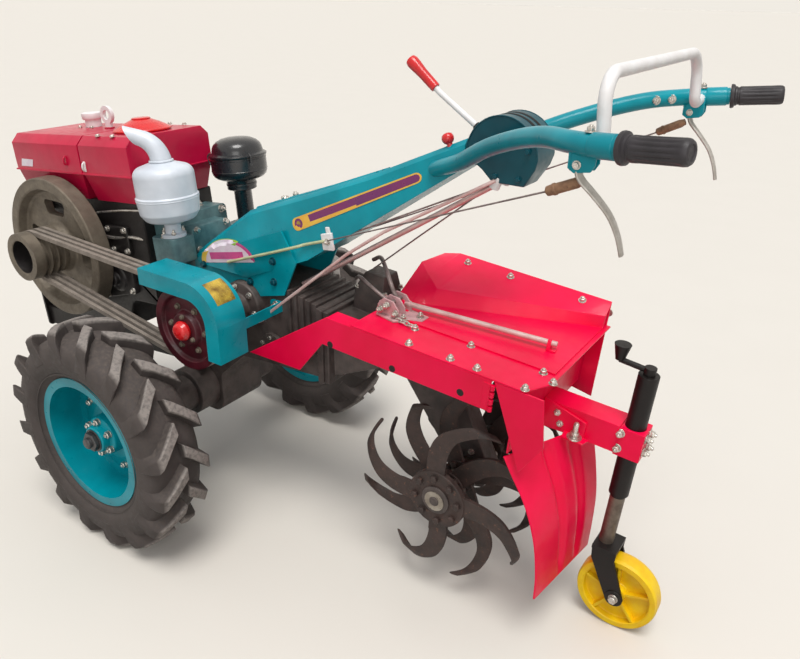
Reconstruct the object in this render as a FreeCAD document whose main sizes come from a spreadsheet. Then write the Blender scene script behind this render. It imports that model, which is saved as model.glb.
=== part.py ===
import FreeCAD, Part
import math
import os
import re
from types import SimpleNamespace

import Sketcher
from FreeCAD import Placement, Rotation, Vector

# Walking tractor with a single-cylinder diesel, a rotary tiller and a depth wheel.
# +X is forward, +Y is the machine's left, +Z is up. The origin lies on the ground under the middle
# of the whole machine. Places are worked out from the drive axle and moved by AXLE at the end.

# Driving dimensions in millimetres and degrees.
DIMENSIONS = [
    ("wheel_radius", 295),
    ("wheel_middle", 388.6),
    ("tyre_width", 151),
    ("lug_height", 27),
    ("lug_pairs", 16),
    ("bead_radius", 154),
    ("rim_lip_radius", 172),
    ("rim_width", 116),
    ("rim_wall", 4),
    ("bead_gap", 0.6),
    ("axle_radius", 20),
    ("hub_radius", 52),
    ("running_gap", 0.08),
    ("crank_ahead", 395),
    ("crank_height", 648),
    ("engine_pitch", 5),
    ("flywheel_radius", 192),
    ("flywheel_width", 47),
    ("flywheel_face", 208),
    ("crankshaft_radius", 24),
    ("block_near", 125),
    ("block_far", 115),
    ("block_top", 128),
    ("tank_top", 294),
    ("tank_rear", -118),
    ("tank_front", 185),
    ("hopper_rear", -322),
    ("tank_wall", 3),
    ("head_rear", -372),
    ("head_half", 90),
    ("muffler_along", -408),
    ("muffler_left", 120),
    ("muffler_foot", 54),
    ("muffler_radius", 73),
    ("muffler_height", 188),
    ("horn_radius", 26),
    ("horn_tip", 14),
    ("horn_wall", 3),
    ("horn_turn", 30),
    ("cleaner_along", -405),
    ("cleaner_left", -133),
    ("cleaner_foot", 30),
    ("mount_face", -367.2),
    ("seat_gap", 0.3),
    ("crank_pulley_radius", 64),
    ("crank_pulley_end", 300),
    ("clutch_back", 198),
    ("clutch_height", 589),
    ("clutch_radius", 100),
    ("clutch_shaft_radius", 18),
    ("belt_middle", 242),
    ("belt_pitch", 19),
    ("belt_width", 14),
    ("belt_height", 11),
    ("belt_gap", 0.6),
    ("guard_front", 65),
    ("guard_reach", 119),
    ("guard_clear", 19),
    ("guard_rise", 24),
    ("guard_drop", 54),
    ("guard_rim", 40),
    ("guard_bend", 95),
    ("bumper_ahead", 270),
    ("bumper_rise", 70),
    ("bumper_half", 130),
    ("bumper_hole", 6.5),
    ("rail_ground", 408),
    ("rail_height", 56),
    ("rail_outside", 120),
    ("rail_inside", 82),
    ("rail_wall", 6),
    ("case_half", 75),
    ("case_rear", 450),
    ("case_crown", 66),
    ("case_rib", 8),
    ("beam_front", 26),
    ("beam_gap", 7),
    ("beam_end", 775),
    ("cheek_sheet", 5),
    ("box_back", 850),
    ("box_foot", 975),
    ("box_radius", 84),
    ("rotor_back", 800),
    ("rotor_height", 285),
    ("rotor_radius", 218),
    ("rotor_shaft_radius", 24),
    ("tine_hub_radius", 40),
    ("end_flange_radius", 70),
    ("chain_case_half", 25),
    ("tiller_offset", -43),
    ("tiller_pitch", 4),
    ("tiller_half", 193),
    ("deck_height", 351),
    ("deck_rear", -196),
    ("deck_front", 245),
    ("hood_corner", 14),
    ("panel_back", 150),
    ("arm_foot", 192),
    ("sheet", 3),
    ("tail_axle_back", 1178.6),
    ("tail_wheel_radius", 90.6),
    ("tail_wheel_width", 43),
    ("tail_pin_radius", 8),
    ("strut_radius", 21),
    ("strut_bore", 16.4),
    ("leg_radius", 16),
    ("strut_back", 339),
    ("grip_radius", 17.5),
    ("grip_length", 94),
    ("arm_tube_radius", 16),
]

doc = FreeCAD.newDocument("WalkingTractor")
sheet = doc.addObject("Spreadsheet::Sheet", "Sizes")
for row, (alias, value) in enumerate(DIMENSIONS, 1):
    sheet.set(f"A{row}", alias)
    sheet.set(f"B{row}", str(value))
    sheet.setAlias(f"B{row}", alias)
doc.recompute()
ALIASES = {alias for alias, value in DIMENSIONS}
size = SimpleNamespace(**{alias: float(sheet.get(alias)) for alias in ALIASES})

# Height of the rails' top and of the front plate's top in the engine's frame, as formulas.
RAIL_TOP = "(rail_ground - crank_height)"
BUMPER_TOP = f"({RAIL_TOP} + bumper_rise)"
# Where the drive axle stands ahead of the origin, so that front and rear reach are alike.
FRONT = ("(crank_ahead + bumper_ahead * cos(engine_pitch * 1 deg)"
         f" + {BUMPER_TOP} * sin(engine_pitch * 1 deg))")
AXLE = f"((tail_axle_back + tail_wheel_radius - {FRONT}) / 2)"

nodes = {}


def formula(text):
    """Give every alias in a formula the name of its sheet."""
    def named(word):
        return "Sizes." + word.group() if word.group() in ALIASES else word.group()
    return re.sub(r"[a-z_]+", named, text)


def amount(text):
    """Value of a formula of the sheet."""
    return float(sheet.evalExpression(str(text)))


def place(thing, ahead, left, up, pitch="0", turn=0):
    """Bind an object's Placement. Pitch lowers the nose; turn is a fixed turn about Z."""
    if turn:
        thing.Placement = Placement(Vector(), Rotation(Vector(0, 0, 1), turn))
    else:
        thing.Placement = Placement(Vector(), Rotation(Vector(0, 1, 0), 1))
        thing.setExpression("Placement.Rotation.Angle", formula(f"({pitch}) * 1 deg"))
    thing.setExpression("Placement.Base.x", formula(f"{AXLE} + {ahead}"))
    thing.setExpression("Placement.Base.y", formula(str(left)))
    thing.setExpression("Placement.Base.z", formula(str(up)))


# The machine's own frames: each is a list of formulas for place.
GROUND = ("0", "0", "0")
ENGINE = ("crank_ahead", "0", "crank_height", "engine_pitch")
TILLER = ("-rotor_back", "tiller_offset", "rotor_height", "-tiller_pitch")


def fixed(frame):
    """The Placement of a frame as numbers, for shapes made without a sketch."""
    ahead, left, up = (amount(f"{text}") for text in (f"{AXLE} + {frame[0]}", frame[1], frame[2]))
    pitch = amount(frame[3]) if len(frame) > 3 else 0
    return Placement(Vector(ahead, left, up), Rotation(Vector(0, 1, 0), pitch))


def body(label, frame, turn=0):
    """New body for one node, standing in a frame."""
    piece = doc.addObject("PartDesign::Body", label)
    piece.Label = label
    place(piece, *frame, turn=turn)
    nodes[label] = piece
    return piece


def feature(label, frame, shape):
    """Node whose shape is made with Part's own functions."""
    piece = doc.addObject("Part::Feature", label)
    piece.Label = label
    piece.Shape = shape
    piece.Placement = fixed(frame)
    nodes[label] = piece
    return piece


def side_plane(piece, role):
    return [item for item in piece.Origin.OriginFeatures if item.Role == role][0]


def corner_arc(before, corner, after, radius):
    """Tangent points and middle of the arc that rounds a corner."""
    back = (before - corner).normalize()
    ahead = (after - corner).normalize()
    half = back.getAngle(ahead) / 2
    reach = radius / math.tan(half)
    middle = corner + (back + ahead).normalize() * (radius / math.sin(half) - radius)
    return corner + back * reach, middle, corner + ahead * reach


def outline(sketch, corners):
    """Closed outline. Each corner is (across, up) or (across, up, radius), as formulas."""
    # An arc in a sketch always runs to the left, so at a right-hand corner its ends change places.
    points = [Vector(amount(corner[0]), amount(corner[1]), 0) for corner in corners]
    radii = [amount(corner[2]) if len(corner) > 2 else 0 for corner in corners]
    count = len(points)
    starts, ends = list(points), list(points)
    middles = {}
    for index in range(count):
        if radii[index]:
            trio = points[index - 1], points[index], points[(index + 1) % count]
            ends[index], middles[index], starts[index] = corner_arc(*trio, radii[index])
    sides = []
    for index in range(count):
        sides.append(sketch.addGeometry(Part.LineSegment(starts[index], ends[(index + 1) % count]), False))
    for index, corner in enumerate(corners):
        before, after = sides[index - 1], sides[index]
        if index in middles:
            leftward = (ends[index] - points[index]).cross(starts[index] - points[index]).z < 0
            first, last = (ends, starts) if leftward else (starts, ends)
            arc = sketch.addGeometry(Part.Arc(first[index], middles[index], last[index]), False)
            sketch.addConstraint(Sketcher.Constraint("Tangent", before, 2, arc, 1 if leftward else 2))
            sketch.addConstraint(Sketcher.Constraint("Tangent", after, 1, arc, 2 if leftward else 1))
            rounding = sketch.addConstraint(Sketcher.Constraint("Radius", arc, radii[index]))
            sketch.setExpression(f"Constraints[{rounding}]", formula(str(corner[2])))
            vertex = sketch.addGeometry(Part.Point(points[index]), True)
            sketch.addConstraint(Sketcher.Constraint("PointOnObject", vertex, 1, before))
            sketch.addConstraint(Sketcher.Constraint("PointOnObject", vertex, 1, after))
        else:
            sketch.addConstraint(Sketcher.Constraint("Coincident", before, 2, after, 1))
            vertex = after
        for kind, text in (("DistanceX", corner[0]), ("DistanceY", corner[1])):
            held = sketch.addConstraint(Sketcher.Constraint(kind, -1, 1, vertex, 1, amount(text)))
            sketch.setExpression(f"Constraints[{held}]", formula(str(text)))


def ring(sketch, across, up, radius):
    """Circle in a sketch, as formulas."""
    circle = Part.Circle(Vector(amount(across), amount(up), 0), Vector(0, 0, 1), amount(radius))
    index = sketch.addGeometry(circle, False)
    for kind, text in (("DistanceX", across), ("DistanceY", up)):
        held = sketch.addConstraint(Sketcher.Constraint(kind, -1, 1, index, 3, amount(text)))
        sketch.setExpression(f"Constraints[{held}]", formula(str(text)))
    held = sketch.addConstraint(Sketcher.Constraint("Radius", index, amount(radius)))
    sketch.setExpression(f"Constraints[{held}]", formula(str(radius)))


def drawing(piece, role, start, outlines=(), rings=(), shift=("0", "0")):
    """Sketch on one of the body's own planes, moved by start along the normal and by shift within it."""
    sketch = piece.newObject("Sketcher::SketchObject", piece.Label + "_sketch")
    sketch.AttachmentSupport = (side_plane(piece, role), [""])
    sketch.MapMode = "FlatFace"
    for axis, distance in zip("xyz", (*shift, start)):
        sketch.setExpression("AttachmentOffset.Base." + axis, formula(str(distance)))
    for corners in outlines:
        outline(sketch, corners)
    for circle in rings:
        ring(sketch, *circle)
    return sketch


def extrude(piece, role, start, length, outlines=(), rings=(), cut=False):
    """Pad, or with cut a pocket, along the normal: XZ looks along -Y, YZ along +X, XY along +Z."""
    sketch = drawing(piece, role, start, outlines, rings)
    step = piece.newObject("PartDesign::Pocket" if cut else "PartDesign::Pad", piece.Label + "_step")
    step.Profile = sketch
    step.setExpression("Length", formula(str(length)))
    if cut:
        step.Reversed = True
    return step


def turned(piece, corners, role="YZ_Plane", axis="H_Axis", start="0", shift=("0", "0")):
    """Revolved profile: (along, radius) about Y on YZ, (radius, up) about Z on XZ with V_Axis."""
    sketch = drawing(piece, role, start, [corners], shift=shift)
    step = piece.newObject("PartDesign::Revolution", piece.Label + "_turn")
    step.Profile = sketch
    step.ReferenceAxis = (sketch, [axis])
    step.Angle = 360
    return step


def around(piece, step, role, count):
    """Polar pattern of a step about an axis of the body."""
    doc.recompute()
    pattern = piece.newObject("PartDesign::PolarPattern", piece.Label + "_around")
    pattern.Originals = [step]
    pattern.Axis = (side_plane(piece, role), [""])
    pattern.Angle = 360
    pattern.Occurrences = int(count)
    piece.Tip = pattern
    return pattern


def polygon(points):
    return Part.makePolygon([Vector(*point) for point in points] + [Vector(*points[0])])


def skin(sections):
    """Solid through closed sections of straight sides."""
    return Part.makeLoft([polygon(points) for points in sections], True, True)


def spun(corners):
    """Solid turned about Z from a profile of (radius, up) or (radius, up, rounding) corners."""
    points = [Vector(corner[0], 0, corner[1]) for corner in corners]
    edges, at = [], points[0]
    for index, corner in enumerate(corners[1:], 1):
        if len(corner) > 2:
            begin, middle, finish = corner_arc(points[index - 1], points[index], points[index + 1], corner[2])
            edges.append(Part.LineSegment(at, begin).toShape())
            edges.append(Part.Arc(begin, middle, finish).toShape())
            at = finish
        else:
            edges.append(Part.LineSegment(at, points[index]).toShape())
            at = points[index]
    edges.append(Part.LineSegment(at, points[0]).toShape())
    return Part.Face(Part.Wire(edges)).revolve(Vector(), Vector(0, 0, 1), 360)


def rod(start, end, radius):
    """Round bar from one point to another."""
    start, end = Vector(*start), Vector(*end)
    return Part.makeCylinder(radius, (end - start).Length, start, end - start)


def tube_path(points, bend):
    """Wire of straight runs joined by tangent arcs of one radius, or of one radius per corner."""
    points = [Vector(*point) for point in points]
    bends = bend if isinstance(bend, (list, tuple)) else [bend] * (len(points) - 2)
    edges = []
    at = points[0]
    for index, radius in enumerate(bends, 1):
        begin, middle, finish = corner_arc(points[index - 1], points[index], points[index + 1], radius)
        edges.append(Part.LineSegment(at, begin).toShape())
        edges.append(Part.Arc(begin, middle, finish).toShape())
        at = finish
    edges.append(Part.LineSegment(at, points[-1]).toShape())
    return Part.Wire(edges)


def tube(points, radius, bend):
    """Round bar or tube bent along straight runs and arcs."""
    path = tube_path(points, bend)
    start = Vector(*points[0])
    circle = Part.Wire(Part.makeCircle(radius, start, Vector(*points[1]) - start))
    return path.makePipeShell([circle], True, True)


def slab(points, thickness, across="y"):
    """Flat plate: an outline in the XZ plane (or XY with across='z') with a thickness."""
    face = Part.Face(polygon(points))
    return face.extrude(Vector(0, thickness, 0) if across == "y" else Vector(0, 0, thickness))


# Wheels

def solid_of(faces):
    """Closed solid with flat faces, each a list of corners."""
    made = [Part.Face(polygon(corners)) for corners in faces]
    solid = Part.Solid(Part.Shell(made))
    if solid.Volume < 0:
        solid.reverse()
    return solid


def lathe(profile, count):
    """Flat-sided turned ring: profile corners are (along, radius), turned about Y in count steps."""
    def corner(point, step):
        angle = math.radians(360 * step / count)
        return (point[1] * math.sin(angle), point[0], point[1] * math.cos(angle))
    faces = []
    for step in range(count):
        for first, second in zip(profile, profile[1:] + profile[:1]):
            faces.append([corner(first, step), corner(second, step),
                          corner(second, step + 1), corner(first, step + 1)])
    return solid_of(faces)


def faceted(rings):
    """Solid through rings of four corners each, its sides split into triangles."""
    faces = [rings[0], rings[-1]]
    for near, far in zip(rings, rings[1:]):
        for index in range(4):
            following = (index + 1) % 4
            faces.append([near[index], near[following], far[index]])
            faces.append([near[following], far[following], far[index]])
    return solid_of(faces)


def lug_of(sections, hand):
    """Chevron lug from sections of (across, sweep, foot radius, top radius, foot half, top half)."""
    rings = []
    for across, sweep, foot, crest, wide, narrow in sections:
        corners = []
        for radius, width in ((foot, -wide), (crest, -narrow), (crest, narrow), (foot, wide)):
            angle = math.radians(sweep) + width / radius
            corners.append((-radius * math.sin(angle), hand * across, radius * math.cos(angle)))
        rings.append(corners)
    return faceted(rings)


def tyre(label, side):
    """Carcass with alternating chevron lugs; origin at the wheel's centre, axle along Y."""
    half = size.tyre_width / 2
    tread = size.wheel_radius - size.lug_height
    bead = size.rim_width / 2 - size.rim_wall - 0.5
    bulge = (tread + size.bead_radius) / 2
    right = [(bead, size.bead_radius), (bead, size.rim_lip_radius + 3), (half, bulge), (half - 6, tread - 12),
             (half * 0.45, tread)]
    profile = right + [(-across, radius) for across, radius in reversed(right)]
    carcass = lathe(profile, 3 * int(size.lug_pairs))
    crest = size.wheel_radius
    # Columns: distance from the middle, sweep back in degrees, foot and top radius, foot and top half width.
    sections = [
        (2, 0, tread - 14, crest, 17, 11),
        (half * 0.5, 7, tread - 16, crest, 17, 11),
        (half - 1.5, 14, tread - 40, crest - 7, 20, 14),
    ]
    pitch = 360 / size.lug_pairs
    lugs = []
    for hand in (1, -1):
        lug = lug_of(sections, hand)
        for index in range(int(size.lug_pairs)):
            copy = lug.copy()
            copy.rotate(Vector(), Vector(0, 1, 0), pitch * (index + (0 if hand > 0 else 0.5)))
            lugs.append(copy)
    return feature(label, ("0", f"{side} * wheel_middle", "wheel_radius"), carcass.fuse(lugs))


def rim(label, side):
    """Pressed rim with a dished disc and a bolted hub on the axle stub."""
    piece = body(label, ("0", f"{side} * wheel_middle", "wheel_radius"), turn=0 if side > 0 else 180)
    half = "rim_width / 2"
    inside = "bead_radius - rim_wall"
    turned(piece, [
        (f"0 - {half}", "rim_lip_radius"), (f"0 - {half}", inside), ("-36", inside),
        ("-36", f"{inside} - 22", 14),
        ("-20", "hub_radius + 24", 10), ("-20", "hub_radius"), ("-48", "hub_radius - 4", 5),
        ("-48", "axle_radius + running_gap"), ("40", "axle_radius + running_gap"),
        ("40", "axle_radius + 14", 4),
        ("22", "axle_radius + 16"), ("18", "hub_radius - 2", 6), ("-12", "hub_radius"),
        ("-12", "hub_radius + 22", 12),
        ("-28", f"{inside} - 26", 12), ("-28", inside), (half, inside), (half, "rim_lip_radius"),
        (f"{half} - rim_wall", "rim_lip_radius"), (f"{half} - rim_wall", "bead_radius - bead_gap"),
        (f"0 - {half} + rim_wall", "bead_radius - bead_gap"), (f"0 - {half} + rim_wall", "rim_lip_radius"),
    ])
    return piece


# Chassis, gearbox and drive

def from_engine(along, up):
    """Place in the machine's frame, as formulas, of a point of the engine's pitched frame."""
    lean = "engine_pitch * 1 deg"
    return (f"crank_ahead + ({along}) * cos({lean}) + ({up}) * sin({lean})",
            f"crank_height - ({along}) * sin({lean}) + ({up}) * cos({lean})")


def chassis():
    """Two channel rails under the engine, their cross plates and the bolted front plate."""
    piece = body("frame_rails", ENGINE)
    low = f"{RAIL_TOP} - rail_height"
    rails = []
    for hand in ("", "0 - "):
        outside, inside = f"{hand}rail_outside", f"{hand}rail_inside"
        web = f"{hand}(rail_outside - rail_wall)"
        rails.append([(outside, low), (outside, RAIL_TOP), (inside, RAIL_TOP),
                      (inside, f"{RAIL_TOP} - rail_wall"),
                      (web, f"{RAIL_TOP} - rail_wall"), (web, f"{low} + rail_wall"),
                      (inside, f"{low} + rail_wall"),
                      (inside, low)])
    extrude(piece, "YZ_Plane", "mount_face - 60", "bumper_ahead - mount_face + 52", rails)
    half, hole_height = "bumper_half", f"{BUMPER_TOP} - 30"
    extrude(piece, "YZ_Plane", "bumper_ahead - 8", "8",
            [[(f"0 - {half}", f"{low} - 4", 10), (half, f"{low} - 4", 10), (half, BUMPER_TOP, 10),
              (f"0 - {half}", BUMPER_TOP, 10)]],
            [(f"50 - {half}", hole_height, "bumper_hole"), (f"{half} - 50", hole_height, "bumper_hole")])
    half = "(rail_outside - 3)"
    extrude(piece, "YZ_Plane", "mount_face + seat_gap", "8",
            [[(f"0 - {half}", f"{low} + 2"), (half, f"{low} + 2"), (half, f"{RAIL_TOP} + 30", 12),
              (f"0 - {half}", f"{RAIL_TOP} + 30", 12)]])


def gearbox():
    """Cast gearbox with the final drive below it, its side covers and the clutch shaft's stub."""
    piece = body("gearbox_case", GROUND)
    front_top = from_engine("mount_face", "-105")
    front_foot = from_engine("mount_face", f"{RAIL_TOP} - rail_height - 6")
    top, low = "clutch_height + case_crown", "clutch_height - 139"
    outer = [("0 - case_rear", low), ("0 - case_rear", f"{top} - 27", 12), ("-330", top, 30),
             ("-120", top, 20),
             ("-38", "clutch_height - 9", 20), front_top, front_foot, ("75", "wheel_radius + 50", 20),
             ("75", "wheel_radius - 73", 40), ("-75", "wheel_radius - 73", 40),
             ("-75", "wheel_radius + 50", 30),
             ("-170", f"{low} - 20", 30)]
    extrude(piece, "XZ_Plane", "0 - case_half", "2 * case_half", [outer])
    flange = [("0 - case_rear", f"{low} - 10", 8), ("0 - case_rear", f"{top} - 21", 8),
              ("0 - case_rear + 16", f"{top} - 19"), ("0 - case_rear + 16", f"{low} - 12")]
    extrude(piece, "XZ_Plane", "0 - case_half - 14", "2 * case_half + 28", [flange])
    # Ribs round the rear of the case, which follow the slope of its top.
    ribs = []
    for back in range(345, 430, 20):
        crest = f"{top} + case_rib - 2 - 27 * ({back} - 330) / (case_rear - 330)"
        ribs.append([(f"4 - {back}", "clutch_height - 70"), (f"4 - {back}", crest),
                     (f"0 - {back} - 4", crest), (f"0 - {back} - 4", "clutch_height - 70")])
    extrude(piece, "XZ_Plane", "0 - case_half - case_rib", "2 * (case_half + case_rib)", ribs)
    shaft = "clutch_shaft_radius"
    turned(piece, [("case_half - 5", "0"), ("case_half - 5", "60"), ("case_half + 22", "60", 6),
                   ("case_half + 28", "34", 4), ("case_half + 75", "30", 6),
                   ("belt_middle - 40", f"{shaft} + 6"),
                   ("belt_middle - 40", shaft), ("belt_middle + 36", shaft), ("belt_middle + 36", "0")],
           start="0 - clutch_back", shift=("0", "clutch_height"))
    # Bearing covers of the lower shafts: distance back, depth below the clutch shaft, radius, thickness.
    for back, down, radius, thick in ((280, 99, 36, 10), (120, 89, 48, 12), (390, 59, 34, 8)):
        circle = (f"0 - {back}", f"clutch_height - {down}", str(radius))
        extrude(piece, "XZ_Plane", f"0 - case_half - {thick}", str(thick), (), [circle])
        extrude(piece, "XZ_Plane", "case_half", str(thick), (), [circle])


def axle_housings():
    """Final drive's trumpets and the two axle stubs that carry the wheels."""
    piece = body("axle_housings", ("0", "0", "wheel_radius"))
    flange = "wheel_middle - 52"
    inner = "case_half + seat_gap"
    turned(piece, [(inner, "0"), (inner, "66"), ("140", "66", 4), ("140", "50"), (f"{flange} - 26", "42"),
                   (f"{flange} - 16", "52"), (flange, "52"), (flange, "axle_radius"),
                   ("wheel_middle + 46", "axle_radius"), ("wheel_middle + 46", "0")])
    mirror = piece.newObject("PartDesign::Mirrored", "axle_housings_mirror")
    mirror.Originals = [piece.Tip]
    mirror.MirrorPlane = (side_plane(piece, "XZ_Plane"), [""])
    piece.Tip = mirror


def grooved(inner_end, outer_end, radius):
    """Profile corners of a three-groove pulley rim between two ends, from the inner end outwards."""
    corners = [(inner_end, radius)]
    for step in (-1, 0, 1):
        middle = f"belt_middle + {step} * belt_pitch"
        wide = "belt_width / 2 + belt_gap"
        corners += [(f"{middle} - {wide} - 1.5", radius), (f"{middle} - {wide} + 1.5",
                                                           f"{radius} - belt_height"),
                    (f"{middle} + {wide} - 1.5", f"{radius} - belt_height"),
                    (f"{middle} + {wide} + 1.5", radius)]
    return corners + [(outer_end, radius)]


def clutch_pulley():
    """Driven pulley with its clutch drum."""
    piece = body("clutch_pulley", ("0 - clutch_back", "0", "clutch_height"))
    bore = "clutch_shaft_radius + running_gap"
    inner, outer = "belt_middle - 32", "belt_middle + 32"
    turned(piece, [(inner, "clutch_radius - 22")] + grooved(inner, outer, "clutch_radius") + [
        (outer, "clutch_radius - 18", 3), ("belt_middle + 22", "clutch_radius - 22", 4),
        ("belt_middle + 22", "44", 4),
        ("belt_middle + 36", "38", 3), ("belt_middle + 36", bore), ("belt_middle - 38", bore),
        ("belt_middle - 38", "36"), ("belt_middle - 14", "40", 4),
        ("belt_middle - 14", "clutch_radius - 22", 4)])
    cap = body("clutch_cap", ("0 - clutch_back", "0", "clutch_height"))
    turned(cap, [("belt_middle + 36.1", "0"), ("belt_middle + 36.1", "22"), ("belt_middle + 42", "24", 5),
                 ("belt_middle + 56", "18", 10), ("belt_middle + 59", "0")])


def belts():
    """Three closed belts round the crank and clutch pulleys."""
    front = Vector(size.crank_ahead, 0, size.crank_height)
    back = Vector(-size.clutch_back, 0, size.clutch_height)
    span = (front - back).Length
    along = (front - back).normalize()
    across = Vector(-along.z, 0, along.x)

    def loop(offset):
        small = size.crank_pulley_radius - size.belt_height + size.belt_gap + offset
        large = size.clutch_radius - size.belt_height + size.belt_gap + offset
        lean = math.asin((large - small) / span)
        lower = along * math.sin(lean) - across * math.cos(lean)
        upper = along * math.sin(lean) + across * math.cos(lean)
        edges = [
            Part.LineSegment(back + upper * large, front + upper * small).toShape(),
            Part.Arc(front + upper * small, front + along * small, front + lower * small).toShape(),
            Part.LineSegment(front + lower * small, back + lower * large).toShape(),
            Part.Arc(back + lower * large, back - along * large, back + upper * large).toShape(),
        ]
        return Part.Wire(edges)

    band = Part.Face(loop(size.belt_height)).cut(Part.Face(loop(0)))
    loops = []
    for step in (-1, 0, 1):
        belt = band.extrude(Vector(0, size.belt_width - 4, 0))
        belt.translate(Vector(0, size.belt_middle + step * size.belt_pitch - size.belt_width / 2 + 2, 0))
        loops.append(belt.Solids[0])
    feature("drive_belts", GROUND, Part.makeCompound(loops))


def belt_guard():
    """Bent sheet guard over the clutch pulley, with a rim on its near side and a strap to the gearbox."""
    piece = body("belt_guard", GROUND)
    # The front edge stays over the belts' upper run, which rises from the clutch pulley to the crank pulley.
    belt_rise = ("(crank_height + crank_pulley_radius - clutch_height - clutch_radius)"
                 " * (clutch_back - guard_front) / (crank_ahead + clutch_back)")
    front_top = f"clutch_height + clutch_radius + guard_clear + {belt_rise}"
    front, back = "0 - guard_front", "0 - clutch_back - guard_reach"
    top, foot = "clutch_height + clutch_radius + guard_rise", "clutch_height - guard_drop"
    near, depth = "belt_middle + 42", 86
    inner_corner = (f"{back} + guard_rim", f"{top} - guard_rim", "guard_bend - guard_rim")
    extrude(piece, "XZ_Plane", f"0 - ({near})", str(depth),
            [[(front, f"{front_top} - guard_rim"), (front, front_top), (back, top, "guard_bend"),
              (back, foot),
              (f"{back} + guard_rim", foot), inner_corner]])
    extrude(piece, "XZ_Plane", f"0 - ({near}) + sheet", str(depth + 4),
            [[(f"{front} + 20", f"{front_top} - guard_rim - 20"), (f"{front} + 20", f"{front_top} - sheet"),
              (f"{back} + sheet", f"{top} - sheet", "guard_bend - sheet"),
              (f"{back} + sheet", f"{foot} - 20"),
              (f"{back} + guard_rim + 20", f"{foot} - 20"),
              (f"{back} + guard_rim + 20", f"{top} - guard_rim - 20", "guard_bend - guard_rim - 20")]],
              cut=True)
    low, high = "clutch_height + 5", "clutch_height + 31"
    extrude(piece, "XZ_Plane", f"0 - ({near}) + {depth} - 1", f"{near} - {depth} + 1 - case_half - seat_gap",
            [[(back, low), (f"{back} + sheet", low), (f"{back} + sheet", high), (back, high)]])
    extrude(piece, "XZ_Plane", "0 - case_half - seat_gap - sheet", "sheet",
            [[(back, low), (f"{back} + 36", low, 8), (f"{back} + 36", high, 8), (back, high)]])


# Engine, in its own frame: the origin is the crankshaft's axis, +X along the cylinder to the front

def engine_block():
    """Crankcase as one block with its cylinder barrel and the crankshaft's stub."""
    piece = body("engine_block", ENGINE)
    foot = f"{RAIL_TOP} + seat_gap"
    extrude(piece, "XZ_Plane", "0 - block_near", "block_near + block_far",
            [[("head_rear + 72", f"{foot} + 90", 20), ("head_rear + 72", "block_top"), ("170", "block_top"),
              ("170", f"{foot} + 120", 60), ("120", foot), ("-150", foot), ("-190", f"{foot} + 90", 30)]])
    for radius, length in (("70", "28"), ("crankshaft_radius", "flywheel_face - 4.2 - block_near")):
        sketch = drawing(piece, "XZ_Plane", "0 - block_near", (), [("0", "0", radius)])
        boss = piece.newObject("PartDesign::Pad", "engine_block_boss")
        boss.Profile = sketch
        boss.Reversed = True
        boss.setExpression("Length", formula(length))


def cylinder_head():
    """Head and rocker cover at the engine's rear end, with the exhaust and intake ports."""
    piece = body("cylinder_head", ENGINE)
    half = "head_half"
    extrude(piece, "YZ_Plane", "head_rear", "72 - seat_gap",
            [[("-95", f"0 - {half}", 12), ("95", f"0 - {half}", 12), ("95", half, 12), ("-95", half, 12)]])
    extrude(piece, "YZ_Plane", "head_rear - 38", "38",
            [[("-68", "-60", 18), ("68", "-60", 18), ("68", "60", 18), ("-68", "60", 18)]])
    # Ports: middle along the engine, middle to the left, half width, foot and top.
    for along, left, foot, top in (("muffler_along", "muffler_left", "muffler_foot - 66", "muffler_foot"),
                                   ("cleaner_along", "cleaner_left", "cleaner_foot - 60", "cleaner_foot")):
        inner = f"{left} - 34" if left == "muffler_left" else f"{left} + 47"
        outer = f"{left} + 32" if left == "muffler_left" else f"{left} - 32"
        extrude(piece, "XY_Plane", foot, f"{top} - ({foot}) - seat_gap",
                [[("head_rear + 20", inner), ("head_rear + 20", outer, 14), (f"{along} - 32", outer, 14),
                  (f"{along} - 32", inner)]])


def tank(label, rear, front):
    """Sheet box with chamfered upper edges over a narrower skirt, parted by a lip and open below."""
    near, far = 150, -115
    chamfer = 22
    lip_height, skirt_inset = 200, 16
    foot = size.block_top + size.seat_gap

    def section(along, inset):
        low, high = lip_height - inset, size.tank_top - inset
        return [(along, far + inset, low), (along, near - inset, low), (along, near - inset, high - chamfer),
                (along, near - inset - chamfer, high), (along, far + inset + chamfer, high),
                (along, far + inset, high - chamfer)]

    def floor(height, inset):
        return [(rear + inset, far + inset, height), (front - inset, far + inset, height),
                (front - inset, near - inset, height), (rear + inset, near - inset, height)]

    box = skin([section(rear, 0), section(front, 0)])
    lip = Part.makeBox(front - rear + 4, near - far + 8, 4, Vector(rear - 2, far - 4, lip_height - 3))
    skirt = skin([floor(foot, skirt_inset), floor(lip_height - 2, 2)])
    wall = size.tank_wall
    room = skin([section(rear + wall, wall), section(front - wall, wall)])
    lower_room = skin([floor(foot - 1, skirt_inset + wall), floor(lip_height, 2 + wall)])
    return feature(label, ENGINE, box.fuse([lip, skirt]).removeSplitter().cut(room.fuse(lower_room)))


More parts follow.
